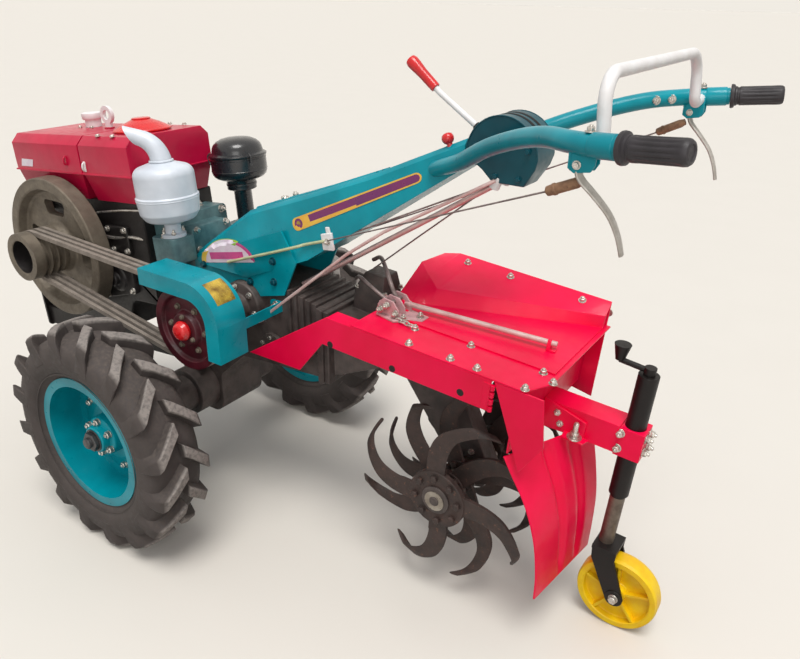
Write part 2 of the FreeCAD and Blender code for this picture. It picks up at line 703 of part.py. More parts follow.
def engine_top():
    """Filler neck, lifting eye, funnel cover and headlamp on the tank and hopper."""
    top = size.tank_top + size.seat_gap
    neck = Part.makeCylinder(22, 22, Vector(40, -20, top)).fuse(Part.makeCylinder(27, 14, Vector(40, -20,
                                                                                                 top + 20)))
    feature("filler_neck", ENGINE, neck)
    plate = Part.makeCylinder(24, 10, Vector(-60, -5, 330), Vector(0, 1, 0))
    stem = Part.makeBox(20, 10, 34, Vector(-70, -5, top))
    hole = Part.makeCylinder(13, 30, Vector(-60, -15, 330), Vector(0, 1, 0))
    feature("lifting_eye", ENGINE, plate.fuse(stem).cut(hole).removeSplitter())
    along, up = from_engine("-225", "tank_top + seat_gap")
    cover = body("hopper_cover", (along, "18", up, "engine_pitch"))
    turned(cover, [("0", "0"), ("70", "0"), ("72", "6"), ("46", "20", 12), ("22", "30", 8), ("0", "32")],
           "XZ_Plane", "V_Axis")
    lamp = body("headlamp", ENGINE)
    extrude(lamp, "YZ_Plane", "tank_front + seat_gap", "34", (), [("60", "246", "30")])


def horn(foot, margin):
    """Tapered bent pipe from the muffler's top, its wall taken off by a margin."""
    reach, rise, bend = 100, 38, 60
    path = tube_path([(0, 0, foot), (0, 0, foot + 46), (reach, 0, foot + 46 + rise)], bend)
    root = Part.Wire(Part.makeCircle(size.horn_radius - margin, Vector(0, 0, foot), Vector(0, 0, 1)))
    tip = Part.Wire(Part.makeCircle(size.horn_tip - margin, Vector(reach, 0, foot + 46 + rise),
                                    Vector(reach, 0, rise)))
    return path.makePipeShell([root, tip], True, True)


def muffler():
    """Drum silencer on the head's exhaust port, with a bent tapered horn cut off at a slant."""
    along, up = from_engine("muffler_along", "muffler_foot")
    wide, high = size.muffler_radius, size.muffler_height
    drum = spun([(0, 0), (30, 0), (30, 8), (20, 10), (20, 34, 4), (wide - 13, 44, 16), (wide - 1, 62, 8),
                 (wide + 3, 98), (wide + 3, 103), (wide, 106), (wide, high - 18, 24), (22, high - 2, 10),
                 (0, high)])
    foot = high - 8
    knife = Part.makeBox(200, 200, 200, Vector(0, -100, -100))
    knife.rotate(Vector(), Vector(0, 1, 0), 28.5)
    knife.translate(Vector(67, 0, foot + 71))
    pipe = horn(foot, 0).cut(knife)
    for shape in (pipe, knife):
        shape.rotate(Vector(), Vector(0, 0, 1), size.horn_turn)
    hollow = horn(foot, size.horn_wall)
    hollow.rotate(Vector(), Vector(0, 0, 1), size.horn_turn)
    feature("muffler", (along, "muffler_left", up, "engine_pitch"),
            drum.fuse(pipe).cut(hollow).removeSplitter())


def air_cleaner():
    """Oil bath air cleaner on its intake pipe."""
    along, up = from_engine("cleaner_along", "cleaner_foot")
    piece = body("air_cleaner", (along, "cleaner_left", up, "engine_pitch"))
    turned(piece, [("0", "0"), ("30", "0"), ("30", "8"), ("24", "10"), ("24", "88", 4), ("38", "94", 4),
                   ("38", "118", 6), ("66", "126", 8), ("74", "140", 6), ("74", "184"), ("77", "188"),
                   ("66", "200", 8),
                   ("46", "222", 16), ("0", "230")], "XZ_Plane", "V_Axis")


def flywheel():
    """Dished cast flywheel with kidney holes, and the hollow three-groove crank pulley."""
    piece = body("flywheel", ("crank_ahead", "0", "crank_height"))
    back = "flywheel_face - flywheel_width"
    bore = "crankshaft_radius + running_gap"
    turned(piece, [(back, bore), (back, "flywheel_radius", 4), ("flywheel_face", "flywheel_radius", 4),
                   ("flywheel_face", "flywheel_radius - 30", 4),
                   ("flywheel_face - 24", "flywheel_radius - 40", 8),
                   ("flywheel_face - 24", "70", 10), ("flywheel_face - 4", "60", 4),
                   ("flywheel_face - 4", bore)])
    hole = drawing(piece, "XZ_Plane", "0 - flywheel_face", [[
        ("-36", "88", 12), ("36", "88", 12), ("48", "128", 12), ("-48", "128", 12)]])
    window = piece.newObject("PartDesign::Pocket", "flywheel_window")
    window.Profile = hole
    window.Type = "ThroughAll"
    window.Midplane = True
    around(piece, window, "Y_Axis", 4)
    pulley = body("crank_pulley", ("crank_ahead", "0", "crank_height"))
    inner, outer = "flywheel_face - 3.9", "crank_pulley_end"
    turned(pulley, [(inner, "0")] + grooved(inner, outer, "crank_pulley_radius") + [
        (outer, "crank_pulley_radius - 20", 4), (f"{outer} - 52", "crank_pulley_radius - 22", 6),
        (f"{outer} - 52", "0")])


# Handle column, in the machine's frame

def column(back, above):
    """Height above the line from the clutch shaft's height at the beam's front to the control box's foot."""
    share = (back - size.beam_front) / (size.beam_end - size.beam_front)
    return size.clutch_height + share * (size.box_foot - size.clutch_height) + above


# The beam rests over the gearbox's top at its front. Columns: distance back of the axle, height of the
# underside and of the top, half width below and above.
CASE_TOP = size.clutch_height + size.case_crown
BEAM_SECTIONS = [
    (size.beam_front, CASE_TOP + size.beam_gap, column(size.beam_front, 101), 80, 70),
    (215, CASE_TOP + size.beam_gap, column(215, 137.6), 86, 66),
    (402, column(402, -40.8), column(402, 110.2), 74, 58),
    (560, column(560, -14.2), column(560, 90.8), 60, 50),
    (size.beam_end, column(size.beam_end, 21), column(size.beam_end, 77), 40, 36),
]


def beam_skin(margin):
    """Tapered box of the handle column, grown all round by a margin."""
    chamfer = 10
    sections = []
    for back, low, high, foot, crown in BEAM_SECTIONS:
        foot, crown = foot + margin, crown + margin
        low, high = low - margin, high + margin
        sections.append([(-back, -foot, low), (-back, foot, low), (-back, crown, high - chamfer),
                         (-back, crown - chamfer, high), (-back, chamfer - crown, high),
                         (-back, -crown, high - chamfer)])
    return skin(sections)


# Cheek that clasps the gearbox: distance ahead of the axle, height above the clutch shaft.
CHEEK = [(-26, 1), (-26, 91), (-330, 211), (-372, 141), (-330, 51), (-215, 21), (-120, 1)]


def handle_beam():
    """Tapered sheet box beam with cheeks that clasp the gearbox's top."""
    thick = size.cheek_sheet
    inner = size.case_half + size.seat_gap
    cover = Part.makeCylinder(61, 100, Vector(-size.clutch_back, 50, size.clutch_height), Vector(0, 1, 0))
    near = slab([(ahead, inner, size.clutch_height + up) for ahead, up in CHEEK], thick).cut(cover)
    far = slab([(ahead, -inner - thick, size.clutch_height + up) for ahead, up in CHEEK], thick)
    ribs = []
    for share in (-0.55, 0, 0.55):
        sections = []
        for back, low, high, foot, crown in BEAM_SECTIONS[1:-1]:
            middle = share * (crown - 10)
            sections.append([(-back, middle - 8, high - 2), (-back, middle + 8, high - 2),
                             (-back, middle + 4, high + 4), (-back, middle - 4, high + 4)])
        ribs.append(skin(sections))
    feature("handle_beam", GROUND, beam_skin(0).fuse([near, far] + ribs).removeSplitter())


# Left arm's centre line: ahead of the axle, left of the middle, height above the control box's foot.
ARM_ROUTE = [(-700, 30, 10), (-860, 125, 81), (-985, 215, 131), (-1085, 304, 143.5), (-1160, 320.6, 150.8)]
GRIP_END = (-1253, 339, 159)


def at_arm(side, ahead, left, up):
    """Place by the arms on one side, its height measured from the control box's foot."""
    return (ahead, side * left, size.box_foot + up)


def arm_tube(side, radius):
    return tube([at_arm(side, *point) for point in ARM_ROUTE], radius, [80, 80, 50])


def arms():
    """Bent handle tubes with their rubber grips and clutch levers, one of each on either side."""
    tubes, grips, levers = [], [], []
    root = beam_skin(size.seat_gap)
    for side in (1, -1):
        tubes.append(arm_tube(side, size.arm_tube_radius).cut(root).Solids[0])
        start = Vector(*at_arm(side, *ARM_ROUTE[-1]))
        along = (Vector(*at_arm(side, *GRIP_END)) - start).normalize()
        start = start + along * 1
        grip = Part.makeCylinder(size.grip_radius, size.grip_length, start, along)
        collar = Part.makeCylinder(size.grip_radius + 5, 8, start, along)
        grips.append(grip.fuse(collar).removeSplitter())
        near = 296 if side > 0 else -302
        corners = [(-1097, 143), (-1070, 143), (-1070, 107), (-1110, 101)]
        bracket = slab([(ahead, near, size.box_foot + up) for ahead, up in corners], 6)
        lever = tube([at_arm(side, *point) for point in (
            (-1095, 299, 119), (-1112, 299, 87), (-1136, 288, 47), (-1160, 266, -11))], 5, 20)
        levers.append(lever.fuse(bracket).cut(arm_tube(side, size.arm_tube_radius + size.seat_gap)).Solids[0])
    feature("handle_arms", GROUND, Part.makeCompound(tubes))
    feature("grips", GROUND, Part.makeCompound(grips))
    feature("clutch_levers", GROUND, Part.makeCompound(levers))


# Hand loop's centre line from its left foot to the middle of the machine.
LOOP_ROUTE = [(-1112, 300, 145), (-1112, 250, 139), (-1104, 250, 233)]


def loop_guard():
    """Bent tube loop between the two arms, its feet turned out to meet them."""
    route = [at_arm(1, *point) for point in LOOP_ROUTE] + [at_arm(-1,
                                                                  *point) for point in reversed(LOOP_ROUTE)]
    loop = tube(route, 10, [14, 45, 45, 14])
    for side in (1, -1):
        loop = loop.cut(arm_tube(side, size.arm_tube_radius + size.seat_gap))
    feature("hand_loop", GROUND, max(loop.Solids, key=lambda item: item.Volume))


def controls():
    """Control box at the beam's end, gear lever and the rods below the beam."""
    back, foot, radius = size.box_back, size.box_foot, size.box_radius
    piece = body("control_box", ("0 - box_back", "0", "box_foot"))
    turned(piece, [("0", "0"), ("42", "0"), ("box_radius - 24", "70", 8), ("box_radius - 4", "84", 6),
                   ("box_radius", "112", 6), ("box_radius - 22", "124", 8),
                   ("0", "128")], "XZ_Plane", "V_Axis")
    extrude(piece, "XY_Plane", "28", "38",
            [[("0", "-24"), ("box_back - beam_end - seat_gap", "-24"),
              ("box_back - beam_end - seat_gap", "24"),
              ("0", "24")]])
    root, bend, tip = (Vector(ahead - back, 0, foot + up) for ahead, up in ((70, 95), (156, 151), (225, 207)))
    along = (tip - bend).normalize()
    lever = tube([root, bend, bend + along * 30], 6, 20)
    housing = Part.makeCylinder(radius + size.seat_gap, 200, Vector(-back, 0, foot))
    feature("gear_lever", GROUND, lever.cut(housing))
    feature("gear_lever_grip", GROUND, Part.makeCylinder(12, 60, bend + along * (30 + size.seat_gap), along))
    rods = []
    for side in (1, -1):
        rods.append(rod((-352, side * 35, CASE_TOP + 7), (-back + 16, side * 24, foot - 5), 5))
    feature("control_rods", GROUND, Part.makeCompound(rods))


# Tiller, in its own frame: the origin is the rotor's axis in the middle of the tiller

def within_tiller(ahead, left, up):
    """Place in the tiller's frame of a point of the machine's frame."""
    return fixed(TILLER).inverse().multVec(fixed(GROUND).multVec(Vector(ahead, left, up)))


def tiller_frame():
    """Two side bars of angle section, the near one with a pointed front plate, and the deck plate on them."""
    deck, half, thick = size.deck_height, size.tiller_half, 5
    bars = []
    for side in (1, -1):
        near = half - thick if side > 0 else -half
        wing = [(320, near, deck - 70), (384, near, deck - 162), (544, near, deck - 173), (310, near, deck)]
        end = [(230, near, deck - 70), (140, near, deck)]
        web = slab([(-96, near, deck - 70)] + (wing if side > 0 else end) + [(-96, near, deck)], thick)
        reach = 406 if side > 0 else 226
        flange = Part.makeBox(reach, 40, thick, Vector(-96, half - 40 if side > 0 else -half, deck - thick))
        bars.append(web.fuse(flange).removeSplitter())
    feature("side_bars", TILLER, Part.makeCompound(bars))
    top = deck + size.seat_gap
    corner = 62
    cut = size.hood_corner
    plate = slab([(size.deck_rear, -half, top), (size.deck_front - 35, -half, top),
                  (size.deck_front, cut - half, top), (size.deck_front, half, top),
                  (size.deck_rear + corner / 2, half, top), (size.deck_rear, half - corner, top)], 4, "z")
    feature("deck_plate", TILLER, plate)


def hood():
    """Folded sheet over the right half: a low strip, a step, a sloping upper plate and a side skirt."""
    deck = size.deck_height + 4 + 2 * size.seat_gap
    thick = size.sheet
    side = -size.tiller_half - 4
    front, rear = size.deck_front - 5, size.deck_rear + 10
    # Columns: distance ahead, foot of the step, its top and height, outer edge and its height, skirt's drop.
    stations = [
        (front, 32, -75, 64, side + size.hood_corner, 55, 0),
        (front - 35, 14, -50, 48, side, 60, 0),
        (front - 37, 14, -50, 48, side, 60, 130),
        (front - 74, -3, -28, 32, side, 60, 140),
        (rear, side + 30, side + 27, 27, side, 53, 190),
    ]
    sections = []
    for along, fold, crest, low, edge, high, skirt in stations:
        upper = [(98, thick), (fold, thick), (crest, low + thick), (edge, high + thick), (edge, -skirt)]
        lower = [(edge + thick, -skirt), (edge + thick, high), (crest - thick, low), (fold - thick, 0),
                 (98, 0)]
        sections.append([(along, across, deck + up) for across, up in upper + lower])
    feature("hood", TILLER, skin(sections))


def shield():
    """Panel below the deck's rear edge, the curved shield behind the rotor and its flat side plate."""
    half, thick = size.tiller_half, 4
    under = size.deck_height - size.seat_gap
    panel = Part.makeBox(thick, 2 * half - 14, under - 200, Vector(-size.panel_back, -half + 7, 200))
    # Rear face of the shield from the top down: distance ahead of the rotor's axis, height.
    left_edge = [(-146, 191.7), (-168, 158), (-208, 98), (-240, 22), (-258, -60), (-264, -123)]
    right_edge = [(-244, 191.7), (-256, 150), (-272, 90), (-286, 20), (-292, -60), (-294, -124)]
    left, right = half - 4.3, -42

    def section(share, depth):
        """Section at a share of the width from left to right, pressed in by a depth between its ends."""
        rear = []
        for near, far in zip(left_edge, right_edge):
            pressed = depth if near not in (left_edge[0], left_edge[-1]) else 0
            rear.append((near[0] + share * (far[0] - near[0]) + pressed, left + share * (right - left),
                         near[1] + share * (far[1] - near[1])))
        return rear + [(along + thick, across, up) for along, across, up in reversed(rear)]

    # Two pressed grooves: share of the width, depth.
    pressing = [(0, 0), (0.38, 0), (0.44, 9), (0.5, 0), (0.68, 0), (0.74, 9), (0.8, 0), (1, 0)]
    curved = skin([section(share, depth) for share, depth in pressing])
    side = slab([(-102, half - 4, under), (-205, half - 4, under), (-221, half - 4, 249),
                 (-180, half - 4, 172)], thick)
    feature("rear_shield", TILLER, Part.makeCompound([panel, curved, side]))


def tail_arm():
    """Box arm from the rear panel to the clamp round the depth wheel's strut."""
    back, foot = size.strut_back, size.arm_foot
    arm = Part.makeBox(back - size.panel_back - 24, 60, 64, Vector(-back + 24 - size.seat_gap, -30, foot))
    clamp = Part.makeBox(54, 54, 66, Vector(-back - 27, -27, foot - 6))
    hole = Part.makeCylinder(size.strut_radius + size.seat_gap, 100, Vector(-back, 0, foot - 20))
    feature("tail_arm", TILLER, arm.fuse(clamp).cut(hole).removeSplitter())


def strut():
    """Outer tube with its crank, and the sliding leg with a fork for the depth wheel."""
    back = size.strut_back
    outer = Part.makeCylinder(size.strut_radius, 290, Vector(-back, 0, 82))
    bore = Part.makeCylinder(size.strut_bore, 282, Vector(-back, 0, 80))
    feature("strut_tube", TILLER, outer.cut(bore))
    crank_foot = 372 + size.seat_gap
    hub = Part.makeCylinder(12, 16, Vector(-back, 0, crank_foot))
    lever = rod((-back, 0, crank_foot + 8), (-back + 62, 0, crank_foot + 12), 6)
    knob = Part.makeCone(9, 17, 34, Vector(-back + 62, 0, crank_foot + 12))
    feature("depth_crank", TILLER, hub.fuse([lever, knob]).removeSplitter())
    centre = within_tiller(-size.tail_axle_back, size.tiller_offset, size.tail_wheel_radius)
    along, up = centre.x, centre.z
    gap, plate = size.tail_wheel_width / 2 + 6, 6
    leg = Part.makeCylinder(size.leg_radius, 260, Vector(-back, 0, -52))
    pieces = [Part.makeBox(54, 2 * (gap + plate), 10, Vector(-back - 34, -gap - plate, -60))]
    for near in (gap, -gap - plate):
        pieces.append(slab([(-back - 34, near, -50), (-back + 20, near, -50), (-back + 16, near, -84),
                            (along + 20, near, up - 6), (along + 12, near, up - 18),
                            (along - 12, near, up - 18),
                            (along - 20, near, up), (-back - 34, near, -76)], plate))
    pin = Part.makeCylinder(size.tail_pin_radius, 2 * gap + 20, Vector(along, -gap - 10, up), Vector(0, 1, 0))
    feature("strut_leg", TILLER, leg.fuse(pieces + [pin]).removeSplitter())


def tail_wheel():
    """Moulded wheel with a flat rim, a web and five ribs on either side of it."""
    piece = body("tail_wheel", ("0 - tail_axle_back", "tiller_offset", "tail_wheel_radius"))
    half, rim_inside = "tail_wheel_width / 2", "tail_wheel_radius - 14"
    bore = "tail_pin_radius + running_gap"
    turned(piece, [(f"0 - {half}", bore), (f"0 - {half}", "20"), ("-5", "23", 3),
                   ("-5", f"{rim_inside} - 4", 3),
                   (f"0 - {half}", rim_inside), (f"0 - {half}", "tail_wheel_radius - 3"),
                   ("-14", "tail_wheel_radius"), ("14", "tail_wheel_radius"), (half, "tail_wheel_radius - 3"),
                   (half, rim_inside), ("5", f"{rim_inside} - 4", 3), ("5", "23", 3), (half, "20"),
                   (half, bore)])
    spoke = extrude(piece, "XZ_Plane", f"3 - {half}", "tail_wheel_width - 6",
                    [[("-3", "17"), ("3", "17"), ("3", f"{rim_inside} + 3"), ("-3", f"{rim_inside} + 3")]])
    around(piece, spoke, "Y_Axis", 5)


# Blade of the rotor. Columns: distance from the axis as a share of the reach, distance to the side, bend of
# the bar out of the wheel's plane in degrees, sweep back in degrees, width.
BLADE_SECTIONS = [
    (0.16, 0, 0, 0, 46),
    (0.55, 0, 0, 6, 46),
    (0.84, 5, 18, 20, 42),
    (0.96, 18, 55, 31, 36),
    (0.98, 35, 82, 40, 22),
]
# Rotor stations: distance to the left, side that the blades turn to, first blade's angle, hub radius.
ROTOR_STATIONS = [
    (172, -1, 10, size.end_flange_radius),
    (120, 1, 55, size.tine_hub_radius),
    (68, -1, 28, size.tine_hub_radius),
    (-68, 1, 70, size.tine_hub_radius),
    (-120, -1, 15, size.tine_hub_radius),
    (-172, 1, 50, size.end_flange_radius),
]


def blade(hand):
    """Scimitar blade that leaves its hub in the wheel's plane and turns to one side at its tip."""
    thick = 8
    rings = []
    for share, aside, bend, sweep, width in BLADE_SECTIONS:
        bend, sweep = math.radians(bend), math.radians(sweep)
        radius = share * size.rotor_radius
        corners = []
        for wide, through in ((-width / 2, -thick / 2), (width / 2, -thick / 2), (width / 2, thick / 2),
                              (-width / 2, thick / 2)):
            out = radius - through * math.sin(bend)
            aside_of = hand * (aside + through * math.cos(bend))
            corners.append((-out * math.sin(sweep) + wide * math.cos(sweep), aside_of,
                            out * math.cos(sweep) + wide * math.sin(sweep)))
        rings.append(corners)
    return faceted(rings)


def rotor():
    """Rotor shaft with its bearings' seats, and the bladed hubs on it."""
    piece = body("rotor_shaft", TILLER)
    end = "tiller_half - 6"
    turned(piece, [(f"0 - ({end})", "0"), (f"0 - ({end})", "rotor_shaft_radius"), (end, "rotor_shaft_radius"),
                   (end, "0")])
    bore = Part.makeCylinder(size.rotor_shaft_radius + 0.1, 400, Vector(0, -200, 0), Vector(0, 1, 0))
    sets = []
    for across, hand, turn, hub_radius in ROTOR_STATIONS:
        blades = []
        for index in range(4):
            copy = blade(hand)
            copy.rotate(Vector(), Vector(0, 1, 0), turn + 90 * index)
            copy.translate(Vector(0, across, 0))
            blades.append(copy)
        hub = Part.makeCylinder(hub_radius, 14, Vector(0, across - 7, 0), Vector(0, 1, 0))
        sets.append(hub.fuse(blades).cut(bore).Solids[0])
    feature("rotor_tines", TILLER, Part.makeCompound(sets))


def chain_case():
    """Slim case from the tiller's gearbox down to the rotor's bearing, all one casting."""
    half = size.chain_case_half
    under = size.deck_height - size.seat_gap
    top = size.deck_height - 21
    case = slab([(-58, -half, 0), (-40, -half, -45), (0, -half, -58), (40, -half, -45), (58, -half, 0),
                 (250, -half, top - 100), (250, -half, top), (130, -half, top)], 2 * half)
    bore = Part.makeCylinder(size.rotor_shaft_radius + size.running_gap, 60, Vector(0, -30, 0), Vector(0,
                                                                                                       1, 0))
    face, middle = -size.case_rear - size.seat_gap, -size.tiller_offset
    front = [within_tiller(face, 0, size.clutch_height + up) for up in (-139, 31)]
    box = [(front[0].x, front[0].z), (front[1].x, front[1].z), (221, top - 30), (216, top - 110)]
    housing = slab([(along, middle - 62, up) for along, up in box], 124)
    flange = slab([(point.x, middle - 85, point.z) for point in (
        within_tiller(face + ahead, 0, size.clutch_height + up)
        for ahead, up in ((0, -147), (0, 41), (-14, 41), (-14, -147)))], 170)
    post = Part.makeBox(60, 2 * half, 60, Vector(140, -half, under - 60))
    # Selector's cover on the housing. Columns: front, rear, half width, height above the case's top.
    stages = [(352, 264, 40, -34), (350, 268, 38, 30), (330, 276, 28, 72)]
    cover = skin([[(front, -wide, top + up), (front, wide, top + up), (rear, wide, top + up),
                   (rear, -wide, top + up)] for front, rear, wide, up in stages])
    pieces = [housing, flange, post, cover]
    feature("chain_case", TILLER, case.fuse(pieces).cut(bore).removeSplitter())


def hood_rod():
    """Adjusting rod over the hood on two square brackets, all of it turned a little across the machine."""
    top = size.deck_height + 4 + size.sheet + 3 * size.seat_gap
    reach, turn = 368, 7.8
    bar = Part.makeCylinder(6, reach, Vector(-reach / 2, 0, 16), Vector(1, 0, 0))
    pieces = [Part.makeBox(14, 20, 26, Vector(ahead, -10, 0)) for ahead in (reach / 2 - 20,
                                                                            12 - reach / 2)] + [bar]
    for piece in pieces:
        piece.rotate(Vector(), Vector(0, 0, 1), turn)
        piece.translate(Vector(32.5, 35, top))
    feature("hood_rod", TILLER, pieces[0].fuse(pieces[1:]).removeSplitter())


for name, side in (("left", 1), ("right", -1)):
    tyre(f"tyre_{name}", side)
    rim(f"rim_{name}", side)
chassis()
gearbox()
axle_housings()
clutch_pulley()
belts()
belt_guard()
engine_block()
cylinder_head()
tank("fuel_tank", size.tank_rear, size.tank_front)
tank("water_hopper", size.hopper_rear, size.tank_rear - 6)
engine_top()
muffler()
air_cleaner()
flywheel()
handle_beam()
arms()
loop_guard()
controls()
tiller_frame()
hood()
shield()
tail_arm()
strut()
tail_wheel()
rotor()
chain_case()
hood_rod()

doc.recompute()
faults = []
for item in doc.Objects:
    if "Invalid" in item.State or "Error" in item.State:
        faults.append(f"{item.Label}: {item.State}")
for label, piece in nodes.items():
    if piece.Shape.isNull() or not piece.Shape.isValid():
        faults.append(f"{label}: shape is null or not valid")
if faults:
    raise RuntimeError("; ".join(faults))
os.makedirs("parts", exist_ok=True)
for label, piece in nodes.items():
    piece.Shape.exportStep(f"parts/{label}.step")
print(len(nodes), "nodes")
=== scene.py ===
import math

import bmesh
import bpy
from mathutils import Matrix, Vector
from mathutils.bvhtree import BVHTree


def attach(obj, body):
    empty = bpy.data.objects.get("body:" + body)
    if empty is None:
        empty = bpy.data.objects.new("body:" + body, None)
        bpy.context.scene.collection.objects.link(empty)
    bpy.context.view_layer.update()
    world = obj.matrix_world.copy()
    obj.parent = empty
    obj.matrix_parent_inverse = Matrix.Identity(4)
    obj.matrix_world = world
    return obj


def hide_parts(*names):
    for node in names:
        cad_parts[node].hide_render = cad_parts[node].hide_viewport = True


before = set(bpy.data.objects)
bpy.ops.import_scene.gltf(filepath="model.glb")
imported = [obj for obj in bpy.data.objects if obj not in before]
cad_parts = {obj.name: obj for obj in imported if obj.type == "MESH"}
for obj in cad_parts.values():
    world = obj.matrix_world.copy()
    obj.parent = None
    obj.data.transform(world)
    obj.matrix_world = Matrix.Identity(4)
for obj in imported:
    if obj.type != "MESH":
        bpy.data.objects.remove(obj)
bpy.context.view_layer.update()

scene = bpy.context.scene

# Frames: places below are in millimetres, in the machine's own frames

AHEAD, LEFT, RIGHT, UP, DOWN = (1, 0, 0), (0, 1, 0), (0, -1, 0), (0, 0, 1), (0, 0, -1)
SIDES = (1, -1)
AXLE_X, AXLE_UP, HALF_TRACK = 310.022, 295, 388.6
MILLI = Matrix.Scale(0.001, 4)


def shifted(base, place, degrees=0.0, axis="Y"):
    """Frame moved to a place of another frame and turned about an axis there."""
    return base @ Matrix.Translation(place) @ Matrix.Rotation(math.radians(degrees), 4, axis)


GROUND = MILLI @ Matrix.Translation((AXLE_X, 0, 0))
CRANK = shifted(GROUND, (395, 0, 648))
ENGINE = shifted(GROUND, (395, 0, 648), 5)
TILLER = shifted(GROUND, (-800, -43, 285), -4)
WHEEL_LEFT = shifted(GROUND, (0, HALF_TRACK, AXLE_UP))
WHEEL_RIGHT = shifted(GROUND, (0, -HALF_TRACK, AXLE_UP))
WHEEL_RIGHT_TURNED = shifted(GROUND, (0, -HALF_TRACK, AXLE_UP), 180, "Z")
CLUTCH = shifted(GROUND, (-198, 0, 589))
TAIL = shifted(GROUND, (-1178.6, -43, 90.6))


# Mesh helpers

def basis_of(direction):
    """Rotation that turns +Z to a direction."""
    return Vector(direction).to_track_quat("Z", "Y").to_matrix().to_4x4()


def circle(count, radius, first=0.0):
    """Sine and cosine of points round a circle, from an angle in degrees."""
    angles = [math.radians(first + 360 * index / count) for index in range(count)]
    return [(radius * math.sin(angle), radius * math.cos(angle)) for angle in angles]


def arc(count, radius, first, last):
    """Cosine and sine of points along an arc between two angles in degrees."""
    angles = [math.radians(first + (last - first) * index / (count - 1)) for index in range(count)]
    return [(radius * math.cos(angle), radius * math.sin(angle)) for angle in angles]


def moved(place, points):
    """Points measured from a place."""
    return [Vector(place) + Vector(point) for point in points]


def between(a, b, c, d, share):
    """Value of a smooth curve from b to c, for numbers and for vectors."""
    return 0.5 * (2 * b + (c - a) * share + (2 * a - 5 * b + 4 * c - d) * share * share
                  + (3 * b - a - 3 * c + d) * share ** 3)


def smooth_path(points, count=8):
    """Points of a smooth curve through the given ones."""
    points = [Vector(point) for point in points]
    ends = [2 * points[0] - points[1]] + points + [2 * points[-1] - points[-2]]
    path = [between(*ends[index - 1:index + 3], step / count)
            for index in range(1, len(ends) - 2) for step in range(count)]
    return path + [points[-1]]


def sheet(bm, rows):
    """Faces between rows of vertices."""
    for low, high in zip(rows, rows[1:]):
        for index in range(len(low) - 1):
            bm.faces.new((low[index], low[index + 1], high[index + 1], high[index]))


def bridge(bm, rings, first=False, last=False, closed=False):
    """Faces between rings of vertices, of which some may be one point, with end faces where asked."""
    for low, high in list(zip(rings, rings[1:])) + ([(rings[-1], rings[0])] if closed else []):
        steps = max(len(low), len(high))
        for step in range(steps):
            after = (step + 1) % steps
            corners = []
            for vertex in (low[step % len(low)], low[after % len(low)],
                           high[after % len(high)], high[step % len(high)]):
                if vertex not in corners:
                    corners.append(vertex)
            if len(corners) > 2:
                bm.faces.new(corners)
    if first:
        bm.faces.new(list(reversed(rings[0])))
    if last:
        bm.faces.new(rings[-1])


def lathe(bm, profile, at=(0, 0, 0), axis=UP, steps=32, closed=False):
    """Surface of revolution from (radius, along) corners."""
    turn = Matrix.Translation(at) @ basis_of(axis)
    bridge(bm, [[bm.verts.new(turn @ Vector((across, level, along)))
                 for level, across in (circle(steps, radius) if radius > 1e-6 else [(0, 0)])]
                for radius, along in profile], closed=closed)


def bar(bm, start, end, radius, steps=12):
    """Round bar with closed ends."""
    way = Vector(end) - Vector(start)
    lathe(bm, [(0, 0), (radius, 0), (radius, way.length), (0, way.length)], start, way, steps)


def sweep(bm, points, radius, steps=10, caps=True, flat=1.0):
    """Tube along a list of points, with a radius or a list of radii; flat squeezes it across."""
    points = [Vector(point) for point in points]
    radii = radius if isinstance(radius, list) else [radius] * len(points)
    side = None
    rings = []
    for index, point in enumerate(points):
        way = (points[min(index + 1, len(points) - 1)] - points[max(index - 1, 0)]).normalized()
        if side is None:
            side = way.cross(Vector(UP) if abs(way.z) < 0.9 else Vector(AHEAD)).normalized()
        side = (side - way * side.dot(way)).normalized()
        rings.append([bm.verts.new(point + side * across + way.cross(side) * (flat * level))
                      for level, across in circle(steps, radii[index])])
    bridge(bm, rings, first=caps, last=caps)


def prism(bm, corners, offset):
    """Flat outline pushed along a vector."""
    low = [bm.verts.new(corner) for corner in corners]
    high = [bm.verts.new(corner) for corner in moved(offset, corners)]
    bm.faces.new(low)
    bm.faces.new(list(reversed(high)))
    for index in range(len(corners)):
        after = (index + 1) % len(corners)
        bm.faces.new((low[index], high[index], high[after], low[after]))


def plate(bm, corners, left, thick):
    """Upright outline of (ahead, up) corners at a distance to the left, pushed to the left."""
    prism(bm, [(ahead, left, up) for ahead, up in corners], (0, thick, 0))


def hexagon(bm, at, axis, across, height, washer=0.0):
    """Hexagon head or nut with its crown, on a washer."""
    foot = 1.6 if washer else 0
    if washer:
        lathe(bm, [(0, 0), (washer, 0), (washer, foot), (0, foot)], at, axis, 20)
    radius, top = across / math.sqrt(3), foot + height
    lathe(bm, [(radius * 0.96, foot), (radius, foot + 0.6), (radius, top - 1.2), (radius * 0.86, top),
               (0, top)], at, axis, 6)


def stud(bm, at, axis, across, height, washer, thread):
    """Nut on a threaded end, with a washer."""
    hexagon(bm, at, axis, across, height, washer)
    end = height + thread
    lathe(bm, [(across * 0.3, height), (across * 0.3, end), (across * 0.22, end + 1), (0, end + 1)],
          at, axis, 12)


def skin_of(*names):
    """Search tree of the faces of CAD nodes, to seat pieces on them."""
    corners, faces = [], []
    for name in names:
        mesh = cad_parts[name].data
        base = len(corners)
        corners += [vertex.co.copy() for vertex in mesh.vertices]
        faces += [[base + index for index in polygon.vertices] for polygon in mesh.polygons]
    return BVHTree.FromPolygons(corners, faces)


